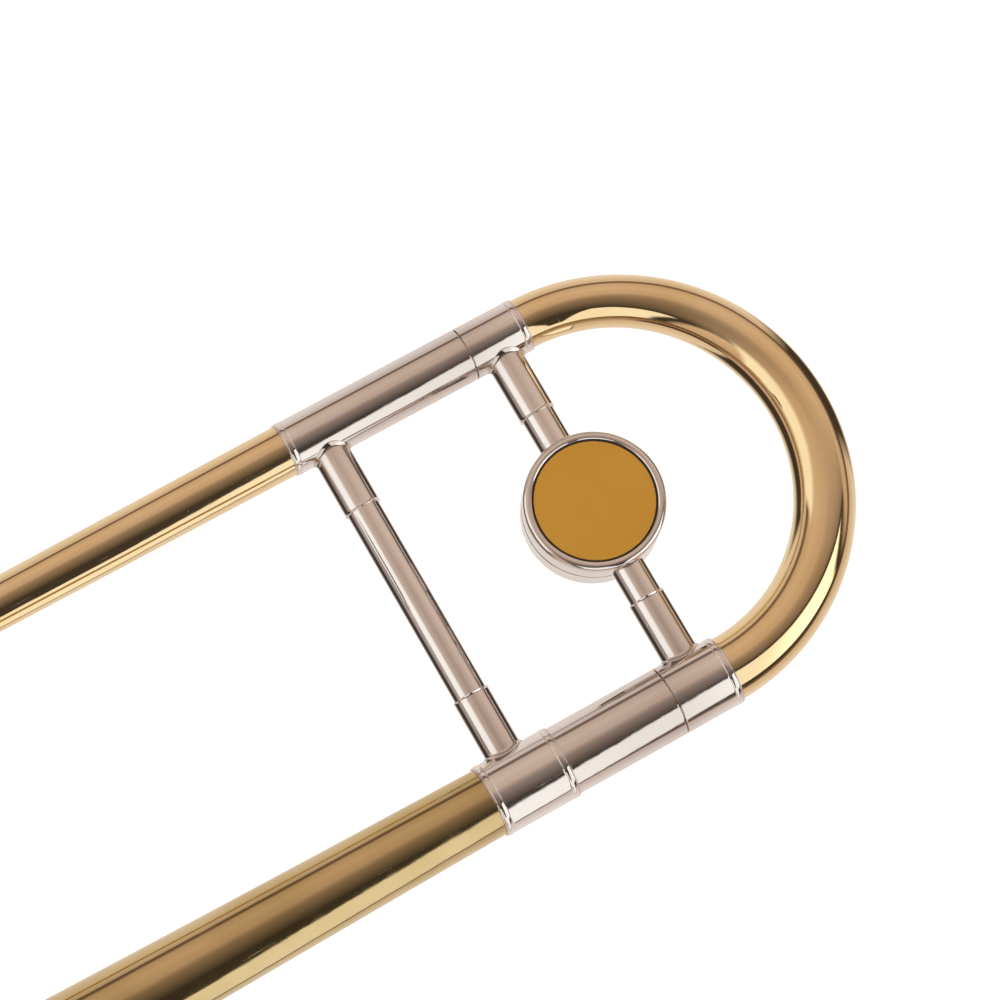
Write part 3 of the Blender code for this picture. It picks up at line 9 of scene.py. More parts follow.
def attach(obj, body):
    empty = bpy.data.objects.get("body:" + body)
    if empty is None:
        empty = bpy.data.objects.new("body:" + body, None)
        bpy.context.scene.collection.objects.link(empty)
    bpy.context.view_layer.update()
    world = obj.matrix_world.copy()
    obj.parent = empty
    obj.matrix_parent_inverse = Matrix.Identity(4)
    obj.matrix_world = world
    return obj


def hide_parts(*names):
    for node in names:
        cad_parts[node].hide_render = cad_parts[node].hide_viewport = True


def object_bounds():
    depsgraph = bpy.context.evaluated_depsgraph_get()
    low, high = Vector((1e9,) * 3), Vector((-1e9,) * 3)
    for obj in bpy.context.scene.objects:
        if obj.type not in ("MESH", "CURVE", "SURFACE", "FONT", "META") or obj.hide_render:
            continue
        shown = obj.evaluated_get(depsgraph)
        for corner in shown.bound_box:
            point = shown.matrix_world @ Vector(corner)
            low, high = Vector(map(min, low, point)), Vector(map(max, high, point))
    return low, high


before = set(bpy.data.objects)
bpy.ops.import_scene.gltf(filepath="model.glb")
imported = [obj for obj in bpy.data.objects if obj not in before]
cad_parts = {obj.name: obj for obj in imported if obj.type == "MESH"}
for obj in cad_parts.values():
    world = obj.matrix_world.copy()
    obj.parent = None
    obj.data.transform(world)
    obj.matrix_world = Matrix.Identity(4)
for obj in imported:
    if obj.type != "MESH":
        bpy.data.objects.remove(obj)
cad_low, cad_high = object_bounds()

# The photographer's place: the camera stands above the tuning slide and looks down past its bow, and a
# long lens makes the tubes run nearly parallel. Its place was found by fitting the legs, bow and brace.
def placed(name, data):
    """A new object in the scene."""
    thing = bpy.data.objects.new(name, data)
    bpy.context.scene.collection.objects.link(thing)
    return thing


MM = 0.001
camera_place = Vector((-139.76, 234.45, 979.76)) * MM
camera_right = Vector((-0.8661, 0.4969, 0.0537)).normalized()
camera_up = Vector((-0.4706, -0.8469, 0.2475))
camera_back = camera_right.cross(camera_up).normalized()
camera_up = camera_back.cross(camera_right).normalized()
lens_data = bpy.data.cameras.new("photo_lens")
lens_data.sensor_width = 36.0
lens_data.lens = 126.2
lens_data.clip_end = 40.0
photo_camera = placed("photo_camera", lens_data)
camera_turn = Matrix((camera_right, camera_up, camera_back)).transposed().to_4x4()
photo_camera.matrix_world = Matrix.Translation(camera_place) @ camera_turn
bpy.context.scene.camera = photo_camera
bpy.context.scene.view_settings.view_transform = "Standard"


# The studio: a warm room with white paper on its floor and two soft boxes in black frames, a slanted one on
# the bell's side and one beyond the bell, with a dark flag beyond the bow. The polished tubes show it as the
# bands that run along them. Camera rays see plain white.
def feed(node, where):
    """Sets a node's inputs by name or number: a socket is linked, anything else is written there."""
    for key, value in where.items():
        if isinstance(value, bpy.types.NodeSocket):
            node.id_data.links.new(value, node.inputs[key])
        else:
            node.inputs[key].default_value = value


def wired(tree, kind, where=None, **settings):
    """A new node with its settings and its inputs."""
    node = tree.nodes.new(kind)
    for key, value in settings.items():
        setattr(node, key, value)
    feed(node, where or {})
    return node


def ramp(tree, source, stops, interpolation="LINEAR"):
    """A colour ramp through stops of (place from 0 to 1, colour)."""
    node = wired(tree, "ShaderNodeValToRGB", {0: source})
    node.color_ramp.interpolation = interpolation
    marks = node.color_ramp.elements
    while len(marks) < len(stops):
        marks.new(0.5)
    for mark, (place, colour) in zip(marks, stops):
        mark.position = place
        mark.color = (*colour, 1.0)
    return node.outputs["Color"]


def grey(stops):
    """Stops of (place, value) as grey colours."""
    return [(place, (value, value, value)) for place, value in stops]


def maths(tree, operation, one, other=0.0, third=0.0):
    """A Math node's value; MULTIPLY_ADD gives one times other plus third."""
    return wired(tree, "ShaderNodeMath", {0: one, 1: other, 2: third}, operation=operation).outputs[0]


def blend(tree, factor, one, other):
    """One colour where factor is 0 and the other where it is 1."""
    return wired(tree, "ShaderNodeMix", {"Factor": factor, 6: one, 7: other}, data_type="RGBA").outputs[2]


def from_signed(place):
    """A place between -1 and 1 as a share from 0 to 1."""
    return place / 2 + 0.5


def angle_from_top(sideways):
    """How far a direction leans from straight up towards one side: -180 to 180 degrees as 0 to 1."""
    lean = maths(room, "ARCTAN2", sideways, way["Z"])
    return maths(room, "MULTIPLY_ADD", lean, 0.5 / pi, 0.5)


def patch(lean, sideways, angles, reach):
    """Mask of a patch of the room. angles and reach give where it begins, is full, fades and ends."""
    steps = (0.0, 1.0, 1.0, 0.0)
    high = ramp(room, lean, grey([(angle / 360 + 0.5, step) for angle, step in zip(angles, steps)]))
    wide = ramp(room, maths(room, "MULTIPLY_ADD", sideways, 0.5, 0.5),
                grey([(from_signed(place), step) for place, step in zip(reach, steps)]))
    return maths(room, "MULTIPLY", high, wide)


paper_near = (0.88, 0.80, 0.76)
paper_far = (0.68, 0.56, 0.51)
paper_slope = 0.25
skirting = (0.20, 0.14, 0.11)
wall = (0.62, 0.48, 0.40)
wall_lit = (0.72, 0.57, 0.48)
overhead = (0.42, 0.32, 0.27)
flag_black = (0.06, 0.048, 0.042, 1.0)
plain_white = (1.0, 1.0, 1.0, 1.0)
pane_white = (1.0, 0.985, 0.97)
pane_hot, pane_hot_x = 1.8, -0.60
pane_even, pane_even_x = 1.12, -0.30
pane_slant = ((-0.21, 13.5), (-0.165, 0.0), (-0.06, -31.0), (0.03, -31.0), (0.12, 0.0))
side_frame_reach = (-0.92, -0.85, 0.68, 0.75)
side_pane_reach = (-0.82, -0.78, 0.58, 0.62)
end_frame_reach = (-0.85, -0.78, 0.25, 0.32)
end_pane_reach = (-0.75, -0.70, 0.15, 0.22)
flag_reach = (-0.45, -0.33, 0.0, 0.12)

world = bpy.data.worlds.new("studio_room")
bpy.context.scene.world = world
world.use_nodes = True
room = world.node_tree
room.nodes.clear()
direction = wired(room, "ShaderNodeTexCoord").outputs["Generated"]
way = wired(room, "ShaderNodeSeparateXYZ", {0: direction}).outputs
level = maths(room, "MULTIPLY_ADD", maths(room, "MULTIPLY_ADD", way["Y"], paper_slope, way["Z"]), 0.5, 0.5)
seen = ramp(room, level, [(from_signed(height), colour) for height, colour in (
    (-0.6, paper_near), (-0.02, paper_far), (0.02, skirting), (0.14, skirting), (0.24, wall),
    (0.6, wall_lit), (0.9, wall), (1.0, overhead))])
along = maths(room, "MULTIPLY_ADD", way["X"], 0.5, 0.5)
slant = ramp(room, along, grey([(from_signed(place), angle / 360 + 0.5) for place, angle in pane_slant]))
plain_lean = angle_from_top(way["Y"])
side_lean = maths(room, "SUBTRACT", maths(room, "ADD", plain_lean, slant), 0.5)
end_lean = angle_from_top(way["X"])
frames = patch(plain_lean, way["X"], (-14, 38, 95, 97), side_frame_reach)
for dark in (patch(side_lean, way["X"], (20, 38, 99, 101), side_frame_reach),
             patch(end_lean, way["Y"], (-142, -126, -88, -74), flag_reach),
             patch(end_lean, way["Y"], (86, 112, 138, 160), end_frame_reach)):
    frames = maths(room, "MAXIMUM", frames, dark)
panes = maths(room, "MAXIMUM", patch(side_lean, way["X"], (41, 43, 95, 97), side_pane_reach),
              patch(end_lean, way["Y"], (34, 48, 76, 88), end_pane_reach))
seen = blend(room, frames, seen, flag_black)
fall_off = [(from_signed(place), tuple(glow * part for part in pane_white))
            for place, glow in ((pane_hot_x, pane_hot), (pane_even_x, pane_even))]
seen = blend(room, panes, seen, ramp(room, along, fall_off, "EASE"))
seen = blend(room, wired(room, "ShaderNodeLightPath").outputs["Is Camera Ray"], seen, plain_white)
glow = wired(room, "ShaderNodeBackground", {"Color": seen, "Strength": 1.0})
wired(room, "ShaderNodeOutputWorld", {"Surface": glow.outputs[0]})


# The floor: white paper under the instrument. It takes the shadow, and its lift makes it plain white to the
# camera where no shadow falls. The tubes don't mirror it, because the room has its own paper.
floor_drop = 0.33
floor_reach = 4.0
paper_lift = 0.62
paper_tones = ((0.3, (0.80, 0.79, 0.775)), (0.7, (0.84, 0.83, 0.82)))
floor_mesh = bpy.data.meshes.new("paper_floor")
floor_mesh.from_pydata([(x * floor_reach, y * floor_reach, cad_low.z - floor_drop) for x, y in
                        ((-1, -1), (1, -1), (1, 1), (-1, 1))], [], [(0, 1, 2, 3)])
paper_floor = placed("paper_floor", floor_mesh)
paper_floor.visible_glossy = False


def noise(tree, place, scale, detail, **inputs):
    """A noise texture's value at place, with any further inputs by name."""
    settings = {"Vector": place, "Scale": scale, "Detail": detail, **inputs}
    return wired(tree, "ShaderNodeTexNoise", settings).outputs["Fac"]


paper = bpy.data.materials.new("floor_paper")
paper.use_nodes = True
sheet = paper.node_tree
sheet.nodes.clear()
fibre = noise(sheet, wired(sheet, "ShaderNodeTexCoord").outputs["Object"], 9.0, 4.0)
matt = wired(sheet, "ShaderNodeBsdfDiffuse", {"Color": ramp(sheet, fibre, paper_tones)})
path = wired(sheet, "ShaderNodeLightPath").outputs
plain = maths(sheet, "MAXIMUM", path["Is Camera Ray"], path["Is Transmission Ray"])
lift = wired(sheet, "ShaderNodeEmission", {"Color": plain_white,
                                           "Strength": maths(sheet, "MULTIPLY", plain, paper_lift)})
both = wired(sheet, "ShaderNodeAddShader", {0: matt.outputs[0], 1: lift.outputs[0]})
wired(sheet, "ShaderNodeOutputMaterial", {"Surface": both.outputs[0]})
floor_mesh.materials.append(paper)

# The lamp: a soft overhead light that lifts the shadow side. The tubes mirror the room, so it is hidden from
# reflections and from the camera.
lamp_data = bpy.data.lights.new("soft_lamp", "AREA")
lamp_data.shape = "RECTANGLE"
lamp_data.size = 1.6
lamp_data.size_y = 1.1
lamp_data.energy = 9.0
lamp_data.color = (1.0, 0.97, 0.93)
lamp_aim = Vector((0.1, 0.06, 0.0))
soft_lamp = placed("soft_lamp", lamp_data)
soft_lamp.location = (-0.2, 1.3, 1.5)
soft_lamp.rotation_mode = "QUATERNION"
soft_lamp.rotation_quaternion = (soft_lamp.location - lamp_aim).to_track_quat("Z", "Y")
soft_lamp.visible_glossy = False
soft_lamp.visible_camera = False


# The tuning bow: one brass tube, drawn to a taper and bent round a half circle, buffed bright and clear
# lacquered. It slips into a ferrule at each end and is soldered there. Sizes from here on are in millimetres.
def new_finish(name):
    """A material with its node tree, its shader and the piece's own coordinates in metres."""
    finish = bpy.data.materials.new(name)
    finish.use_nodes = True
    tree = finish.node_tree
    return finish, tree, tree.nodes["Principled BSDF"], wired(tree, "ShaderNodeTexCoord").outputs["Object"]


def bump(tree, height, strength, depth, **inputs):
    """A bump from height, depth millimetres deep."""
    settings = {"Height": height, "Strength": strength, "Distance": depth * MM, **inputs}
    return wired(tree, "ShaderNodeBump", settings).outputs[0]


def smudged_metal(name, colour, deep, roughness, coat, grain, dust_colour=(0.16, 0.12, 0.09)):
    """Polished metal: a slow change of tone, wiping marks, hairlines, dust, joint tarnish, painted shade in
    the bezel gap.

    grain is how fast the hairlines change across and along the piece's own Z axis, per metre.
    """
    finish, tree, shader, place = new_finish(name)
    tone = noise(tree, place, 42.0, 3.0)
    wiped = noise(tree, place, 160.0, 5.0, Roughness=0.62, Distortion=0.6)
    drawn = wired(tree, "ShaderNodeMapping", {"Vector": place, "Scale": (grain[0], grain[0], grain[1])})
    hair = noise(tree, drawn.outputs[0], 1.0, 2.0, Roughness=0.75)
    crossed = wired(tree, "ShaderNodeMapping", {"Vector": place, "Rotation": (0.5, 0.35, 0.8),
                                                "Scale": (2600.0, 60.0, 60.0)})
    stray = ramp(tree, noise(tree, crossed.outputs[0], 1.0, 1.0), grey([(0.70, 0.0), (0.73, 1.0)]))
    dust = wired(tree, "ShaderNodeTexVoronoi", {"Vector": place, "Scale": 420.0, "Randomness": 1.0}).outputs
    dot = ramp(tree, dust["Distance"], grey([(0.035, 1.0), (0.075, 0.0)]))
    speck = maths(tree, "MULTIPLY", dot, ramp(tree, dust["Color"], grey([(0.62, 0.0), (0.66, 1.0)])))
    tint = blend(tree, ramp(tree, tone, grey([(0.35, 0.0), (0.7, 1.0)])), (*colour, 1.0), (*deep, 1.0))
    # The edge attribute darkens the metal: tarnish at soldered joints, and painted shade in the weight's
    # bezel gap.
    edge = wired(tree, "ShaderNodeAttribute", attribute_name="edge").outputs["Fac"]
    tarnish_and_shade_colour = (deep[0] * 0.55, deep[1] * 0.48, deep[2] * 0.42, 1.0)
    tarnish_and_shade = blend(tree, maths(tree, "MULTIPLY", edge, 0.55), tint, tarnish_and_shade_colour)
    dusty = blend(tree, maths(tree, "MULTIPLY", speck, 0.8), tarnish_and_shade, (*dust_colour, 1.0))
    smear = ramp(tree, wiped, grey([(0.42, 0.0), (0.72, 1.0)]))
    rough = maths(tree, "MULTIPLY_ADD", hair, 0.02, maths(tree, "MULTIPLY_ADD", smear, 0.035, roughness))
    marks = maths(tree, "MAXIMUM", speck, maths(tree, "MULTIPLY", stray, 0.25))
    rough = maths(tree, "MULTIPLY_ADD", marks, 0.4, rough)
    fine = bump(tree, maths(tree, "MULTIPLY_ADD", stray, 0.5, hair), 0.05, 0.02)
    waver = bump(tree, tone, 0.12, 0.6, Normal=fine)
    feed(shader, {"Base Color": dusty, "Metallic": 1.0, "Roughness": rough, "Normal": waver})
    if coat:
        feed(shader, {"Coat Weight": coat, "Coat Roughness": 0.04})
    return finish


tube_brass = smudged_metal("lacquered_tube_brass", (0.89, 0.70, 0.41), (0.84, 0.64, 0.34), 0.03, 0.25,
                           (900.0, 60.0))


def put_on(piece, finish, body, slot, *nodes):
    """Gives a piece its finish and lets it ride on its body and stand for its CAD nodes."""
    piece.data.materials.append(finish)
    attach(piece, body)
    if nodes:
        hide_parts(*nodes)


def piece_of(name, skin, capped=False):
    """An object from a skin in millimetres: poles welded, faces turned outwards and shaded smooth."""
    bmesh.ops.scale(skin, vec=(MM, MM, MM), verts=skin.verts)
    bmesh.ops.remove_doubles(skin, verts=skin.verts, dist=0.0005 * MM)
    for face in skin.faces:
        face.smooth = True
    if capped:
        bmesh.ops.holes_fill(skin, edges=[rim for rim in skin.edges if rim.is_boundary], sides=0)
    bmesh.ops.recalc_face_normals(skin, faces=skin.faces)
    mesh = bpy.data.meshes.new(name)
    skin.to_mesh(mesh)
    skin.free()
    return placed(name, mesh)


def circle(sides):
    """The angles of the points round a ring."""
    return [2 * pi * side / sides for side in range(sides)]


def skinned(name, rings, edge=None, closed=True, capped=False):
    """Joins rings of points into a skin; closed joins the last ring to the first. edge is darkening per ring:
    joint tarnish and painted shade.
    """
    skin = bmesh.new()
    tarnish_and_shade = skin.verts.layers.float.new("edge")
    grid = []
    for ring, tarnish_and_shade_level in zip(rings, edge or [0.0] * len(rings)):
        grid.append([skin.verts.new(point) for point in ring])
        for vert in grid[-1]:
            vert[tarnish_and_shade] = tarnish_and_shade_level
    for here, after in zip(grid, grid[1:] + grid[:1] if closed else grid[1:]):
        for side in range(len(here)):
            skin.faces.new((here[side - 1], here[side], after[side], after[side - 1]))
    return piece_of(name, skin, capped)


def u_tube(name, bend_x, spread, first, away, out, stub_xs, taper, wall, sides=96, steps=120):
    """A tube with a wall, bent round a half circle between two legs, with short straight stubs.

    first points from the bend's middle to the first leg, away to its crown, and out is square to both.
    stub_xs are the places of the stubs' rings, and taper gives radii over the 180 degrees of the bend.
    """
    first, away, out = Vector(first), Vector(away), Vector(out)
    middle = Vector((bend_x, 0, 0)) - first * spread / 2
    degrees = np.linspace(0, 180, steps + 1)
    radials = [first * cos(turn) + away * sin(turn) for turn in np.radians(degrees)]
    spots = [(middle + radial * spread / 2, radial, float(radius))
             for radial, radius in zip(radials, np.interp(degrees, *zip(*taper)))]
    spots[:0] = [(Vector((x, 0, 0)), first, taper[0][1]) for x in stub_xs]
    spots += [(Vector((x, 0, 0)) - first * spread, -first, taper[-1][1]) for x in stub_xs[::-1]]
    rings = [[centre + (radius - inward) * (cos(turn) * radial + sin(turn) * out)
              for turn in circle(sides)]
             for inward, order in ((0.0, spots), (wall, spots[::-1])) for centre, radial, radius in order]
    return skinned(name, rings)


leg_spacing = 118
bow_start_x = -342
bow_stub_xs = (-336, -339.6)
bow_taper = ((0, 7.69), (30, 7.84), (60, 8.34), (90, 8.68), (120, 9.11), (150, 9.26), (180, 9.70))
bow_wall = 0.55
put_on(u_tube("bow_tube", bow_start_x, leg_spacing, (0, -1, 0), (-1, 0, 0), (0, 0, 1), bow_stub_xs, bow_taper,
              bow_wall), tube_brass, "tuning_slide", "lacquered_brass", "tuning_bow")


# The two ferrules of the tuning slide and its two inner legs: turned nickel silver sleeves with a ring at
# the bow's end, soldered over bow and leg. The legs are drawn nickel silver and slide, greased, in the
# receivers, which have the ferrules' outside diameter.
def eased(outline, size, closed):
    """Rounds the corners of an outline of (along, radius), with a short straight run beside each."""
    nearly_straight, least, share_of_side, run, share_of_run = -0.985, 0.01, 0.42, 0.12, 0.05
    points = [np.array(point, float) for point in outline]
    made = []
    for index, point in enumerate(points):
        before = points[index - 1] - point
        after = points[(index + 1) % len(points)] - point
        far, near = np.linalg.norm(before), np.linalg.norm(after)
        reach = min(size, share_of_side * far, share_of_side * near)
        loose_end = not closed and index in (0, len(points) - 1)
        if loose_end or reach < least or np.dot(before, after) / (far * near) < nearly_straight:
            made.append(tuple(point))
            continue
        start = point + before / far * reach
        end = point + after / near * reach
        made.append(tuple(start + before / far * min(run, share_of_run * far)))
        for share in (0.0, 0.25, 0.5, 0.75, 1.0):
            made.append(tuple((1 - share) ** 2 * start + 2 * share * (1 - share) * point + share ** 2 * end))
        made.append(tuple(end + after / near * min(run, share_of_run * near)))
    return made


def turned(name, outline, middle=(0, 0, 0), facing=(1, 0, 0), sides=96, ease=0.2, joints=(), warp=None):
    """Turns an outline of (along, radius) about its axis, closed unless it starts on the axis.

    The places listed for darkening get tarnish at soldered joints and painted shade in the weight's bezel
    gap; warp changes the radius round the piece.
    """
    tarnish_and_shade_reach = 0.5
    closed = outline[0][1] > 0
    rings, edge = [], []
    for along, radius in eased(outline, ease, closed):
        reaches = [radius if warp is None else warp(along, radius, angle) for angle in circle(sides)]
        rings.append([(reach * cos(angle), reach * sin(angle), along)
                      for reach, angle in zip(reaches, circle(sides))])
        edge.append(max([exp(-abs(along - mark) / tarnish_and_shade_reach) for mark in joints], default=0.0))
    piece = skinned(name, rings, edge, closed)
    piece.location = Vector(middle) * MM
    piece.rotation_mode = "QUATERNION"
    piece.rotation_quaternion = Vector(facing).to_track_quat("Z", "Y")
    return piece


def ring_mark(centre, radius, height=0.12, half=0.75, groove=0.12):
    """A half round ring with a fine groove at each side, as points of an outline."""
    side = [(centre - half - 2.4 * groove, radius), (centre - half - 1.2 * groove, radius - groove),
            (centre - half, radius)]
    top = [(centre - half * cos(turn), radius + height * sin(turn))
           for turn in np.linspace(0.25, pi - 0.25, 7)]
    return side + top + [(2 * centre - along, out) for along, out in side[::-1]]


ring_inset = 1.35


def sleeve(ends, radius, bore, ringed=()):
    """Outline of a plain sleeve. ringed says which of its ends, 0 or 1, have a ring mark."""
    outer = [(ends[0], radius)]
    for end in ringed:
        outer += ring_mark(ends[end] + (ring_inset, -ring_inset)[end], radius)
    return outer + [(ends[1], radius), (ends[1], bore), (ends[0], bore)]


nickel = smudged_metal("polished_nickel_silver", (0.84, 0.795, 0.76), (0.80, 0.75, 0.705), 0.03, 0.0,
                       (60.0, 5200.0))


def in_nickel(piece, body, *nodes):
    """put_on() for the nickel silver pieces."""
    put_on(piece, nickel, body, "nickel_silver", *nodes)


neck_receiver_radius, bell_receiver_radius = 8.21, 10.47
ferrule_x = (bow_start_x, -323.33)
for side, y, radius, bore in (("neck", 0, neck_receiver_radius, 7.8),
                              ("bell", leg_spacing, bell_receiver_radius, 9.8)):
    ferrule_line = sleeve(ferrule_x, radius, bore, (0,))
    in_nickel(turned(side + "_ferrule_sleeve", ferrule_line, (0, y, 0), joints=ferrule_x), "tuning_slide",
              side + "_side_ferrule")

leg_x = (-335.4, -277.4)
leg_wall = 0.45
for side, y, radius in (("neck", 0, 7.45), ("bell", leg_spacing, 9.55)):
    leg_line = sleeve(leg_x, radius, radius - leg_wall)
    in_nickel(turned(side + "_slide_leg", leg_line, (0, y, 0), joints=leg_x[1:]), "tuning_slide",
              side + "_side_leg")


# The balance weight between the legs of the bow: two cast and turned nickel silver halves, clamped on two
# struts by a screw inside. A plain brass disc is let into each face, and a black ring round it paints the
# shade in the gap. Each strut is a drawn tube soldered into a socket, whose flared foot sits on a ferrule.
def post_on_tube(name, middle, away, tube_radius, rings, sides=64):
    """A post that stands on a tube along X. rings are (radius, height over the tube, share of its round).

    tube_radius is a number, or a function of the place along the tube for one that widens.
    """
    tube_at = tube_radius if callable(tube_radius) else lambda run: tube_radius
    skin, edge = [], []
    for radius, height, share in rings:
        ring = []
        for angle in circle(sides):
            run, aside = radius * cos(angle), radius * sin(angle)
            saddle = sqrt(max(tube_at(run) ** 2 - aside * aside, 0.0))
            ring.append((run, aside, share * saddle + (1 - share) * tube_at(0.0) + height))
        skin.append(ring)
        edge.append(max(0.0, share - 0.2) * 1.1 * (1 if height < 0.9 else 0.4))
    piece = skinned(name, skin, edge)
    piece.rotation_mode = "QUATERNION"
    along, away = Vector((1, 0, 0)), Vector(away)
    piece.rotation_quaternion = Matrix((along, away.cross(along), away)).transposed().to_quaternion()
    piece.location = Vector(middle) * MM
    return piece


rod_radius = 5.05
rod_in_socket = 3
socket_radius = 5.57
socket_lip = 0.12
foot_flare = 0.8
foot_height = 1.1


def socket_rings(tube_radius, reach, flare=foot_flare, rise=foot_height):
    """Rings of a socket from its flared foot to its lipped end and back down its bore."""
    hem, wide = 0.08, socket_radius + flare
    rings = [(wide - 0.05, -0.05, 1.0), (wide, hem, 1.0)]
    rings += [(socket_radius + flare * (1 - share) ** 2, hem + (rise - hem) * share ** 1.3, 1.0)
              for share in np.linspace(0.1, 1.0, 10)]
    top, lip, bore = reach - tube_radius, socket_radius + socket_lip, rod_radius - 0.4
    return rings + [(socket_radius, rise + 0.3, 1.0), (socket_radius, rise + 1.5, 0.6),
                    (socket_radius, top - 1.0, 0.0), (socket_radius, top - 0.35, 0.0), (lip, top - 0.28, 0.0),
                    (lip, top - 0.08, 0.0), (socket_radius - 0.05, top, 0.0), (rod_radius + 0.04, top, 0.0),
                    (rod_radius - 0.2, top - 0.2, 0.0), (bore, top - 2.0, 0.0), (bore, 0.0, 1.0)]


def pin(start, end, radius):
    """Outline of a plain round pin."""
    return [(start, 0.0), (start, radius), (end, radius), (end, 0.0)]


def outer_corner(end, radius, size, turns):
    """Points of an outline's rounded outer corner."""
    return [(end - size + size * sin(turn), radius - size + size * cos(turn)) for turn in turns]


neck_socket_reach, bell_socket_reach = 26.25, 29.35
strut_x, weight_y = -332.7, 57.96
strut_in_weight = 6
weight_radius = 20.74
for side, y, away, tube_radius, reach in (("neck", 0, 1, neck_receiver_radius, neck_socket_reach),
                                          ("bell", leg_spacing, -1, bell_receiver_radius, bell_socket_reach)):
    place = (strut_x, y, 0)
    rings = socket_rings(tube_radius, reach)
    in_nickel(post_on_tube(side + "_strut_post", place, (0, away, 0), tube_radius, rings), "tuning_slide",
              side + "_side_strut_socket")
    rod = pin(reach - rod_in_socket, abs(weight_y - y) - weight_radius + strut_in_weight, rod_radius)
    in_nickel(turned(side + "_strut_rod", rod, place, (0, away, 0), 64, joints=[reach]),
              "tuning_slide", side + "_side_strut")


def dull_stuff(name, scale, detail, stops, shine, pits, **inputs):
    """A matt material of small crumbs. shine is (roughness, its change) and pits (strength, depth)."""
    finish, tree, shader, place = new_finish(name)
    crumbs = noise(tree, place, scale, detail, **inputs)
    feed(shader, {"Base Color": ramp(tree, crumbs, stops), "Normal": bump(tree, crumbs, *pits),
                  "Roughness": maths(tree, "MULTIPLY_ADD", crumbs, shine[1], shine[0])})
    return finish


gold_face = smudged_metal("plain_gold_disc", (1.0, 0.62, 0.12), (0.97, 0.585, 0.105), 0.50, 0.0,
                          (900.0, 900.0), (0.95, 0.80, 0.50))
# A dark matt ring between each disc and its bezel: painted shade in the gap.
gap_shade_tones = [(0.35, (0.012, 0.010, 0.010)), (0.7, (0.05, 0.042, 0.036))]
gap_shade = dull_stuff("black_gap_shade", 900.0, 4.0, gap_shade_tones, (0.35, 0.4), (0.4, 0.08))
top = 9.07
seam = 0.35
screw_hole = 4
corner = 1.5
seat = top - 2.2
inlay_radius, inlay_back, inlay_face = 17.65, top - 2.1, top - 0.55
bezel_radius = 18.25
gap_shade_face = top - 0.85
gap_shade_clearance = 0.02
shell_line = [(seam / 2, screw_hole), (seam / 2, weight_radius - 0.7), (seam, weight_radius - 0.12),
              (2 * seam, weight_radius)]
shell_line += outer_corner(top, weight_radius, corner, np.linspace(0, pi / 2, 9))
shell_line += [(top - 0.05, bezel_radius + 0.35), (top - 0.3, bezel_radius), (seat, bezel_radius),
               (seat, screw_hole)]
disc_line = [(inlay_back, 0.0), (inlay_back, inlay_radius), (inlay_face, inlay_radius),
             (inlay_face, inlay_radius * 0.6), (inlay_face, 0.0)]
gap_shade_line = [(inlay_back, inlay_radius + gap_shade_clearance), (inlay_back, bezel_radius - gap_shade_clearance),
               (gap_shade_face + 0.15, bezel_radius - gap_shade_clearance), (gap_shade_face, inlay_radius + 0.4),
               (gap_shade_face + 0.1, inlay_radius + gap_shade_clearance)]
for level, face in (("upper", 1), ("lower", -1)):
    place = ((strut_x, weight_y, 0), (0, 0, face), 160)
    # The shell darkens at its seam, a joint, and at its bezel wall, where the darkening is painted shade in
    # the gap.
    in_nickel(turned(level + "_weight_shell", shell_line, *place, ease=0.12, joints=[seam / 2, top - 1.2]),
              "tuning_slide", "weight_" + level + "_half")
    # The disc darkens round its rim: painted shade in the gap round it.
    put_on(turned(level + "_weight_disc", disc_line, *place, ease=0.25, joints=[top - 1.1]),
           gold_face, "tuning_slide", "lacquered_brass", "weight_" + level + "_inlay")
    # The ring of painted shade in the gap between the disc and the bezel.
    put_on(turned(level + "_weight_gap_shade", gap_shade_line, *place, ease=0.05), gap_shade, "tuning_slide",
           "nickel_silver")


# The receivers of the bell section: nickel silver tubes that the slide's legs run in, one on the end of the
# neckpipe and one on the bell, with a ferrule over the joint of receiver and bell. All are soft soldered.
neck_receiver_x, neck_receiver_bore = (-323.03, -263.03), 7.6
bell_receiver_x, bell_receiver_bore = (-323.03, -275.03), 9.7
bell_ferrule_x, bell_ferrule_radius, bell_ferrule_bore = (-287.63, -263.73), 10.93, 10.3
neck_line = sleeve(neck_receiver_x, neck_receiver_radius, neck_receiver_bore, (1,))
in_nickel(turned("neck_receiver_tube", neck_line, joints=neck_receiver_x), "bell_section",
          "neck_side_receiver")
in_nickel(turned("bell_receiver_tube", sleeve(bell_receiver_x, bell_receiver_radius, bell_receiver_bore),
                 (0, leg_spacing, 0), joints=bell_receiver_x[:1]), "bell_section", "bell_side_receiver")
in_nickel(turned("bell_joint_ferrule", sleeve(bell_ferrule_x, bell_ferrule_radius, bell_ferrule_bore, (0, 1)),
                 (0, leg_spacing, 0), joints=bell_ferrule_x), "bell_section", "bell_ferrule")


# The rear bell brace: a drawn nickel silver tube soldered into two sockets with flared feet, one on the
# neckpipe's receiver and one on the bell's ferrule.
def bell_brace(where, x, neck_radius, neck_reach, horn, bell_reach, bell_node, *foot):
    """Two sockets and the tube between them. horn gives the bell's radius at a place beside the brace."""
    rings = socket_rings(neck_radius, neck_reach)
    in_nickel(post_on_tube(where + "_neck_post", (x, 0, 0), (0, 1, 0), neck_radius, rings), "bell_section",
              where + "_brace_neck_socket")
    rings = socket_rings(horn(0.0), bell_reach, *foot)
    in_nickel(post_on_tube(where + "_bell_post", (x, leg_spacing, 0), (0, -1, 0), horn, rings),
              "bell_section", bell_node)
    ends = (neck_reach, leg_spacing - bell_reach)
    rod = pin(ends[0] - rod_in_socket, ends[1] + rod_in_socket, rod_radius)
    in_nickel(turned(where + "_rod", rod, (x, 0, 0), (0, 1, 0), 64, joints=ends),
              "bell_section", where + "_brace_rod")


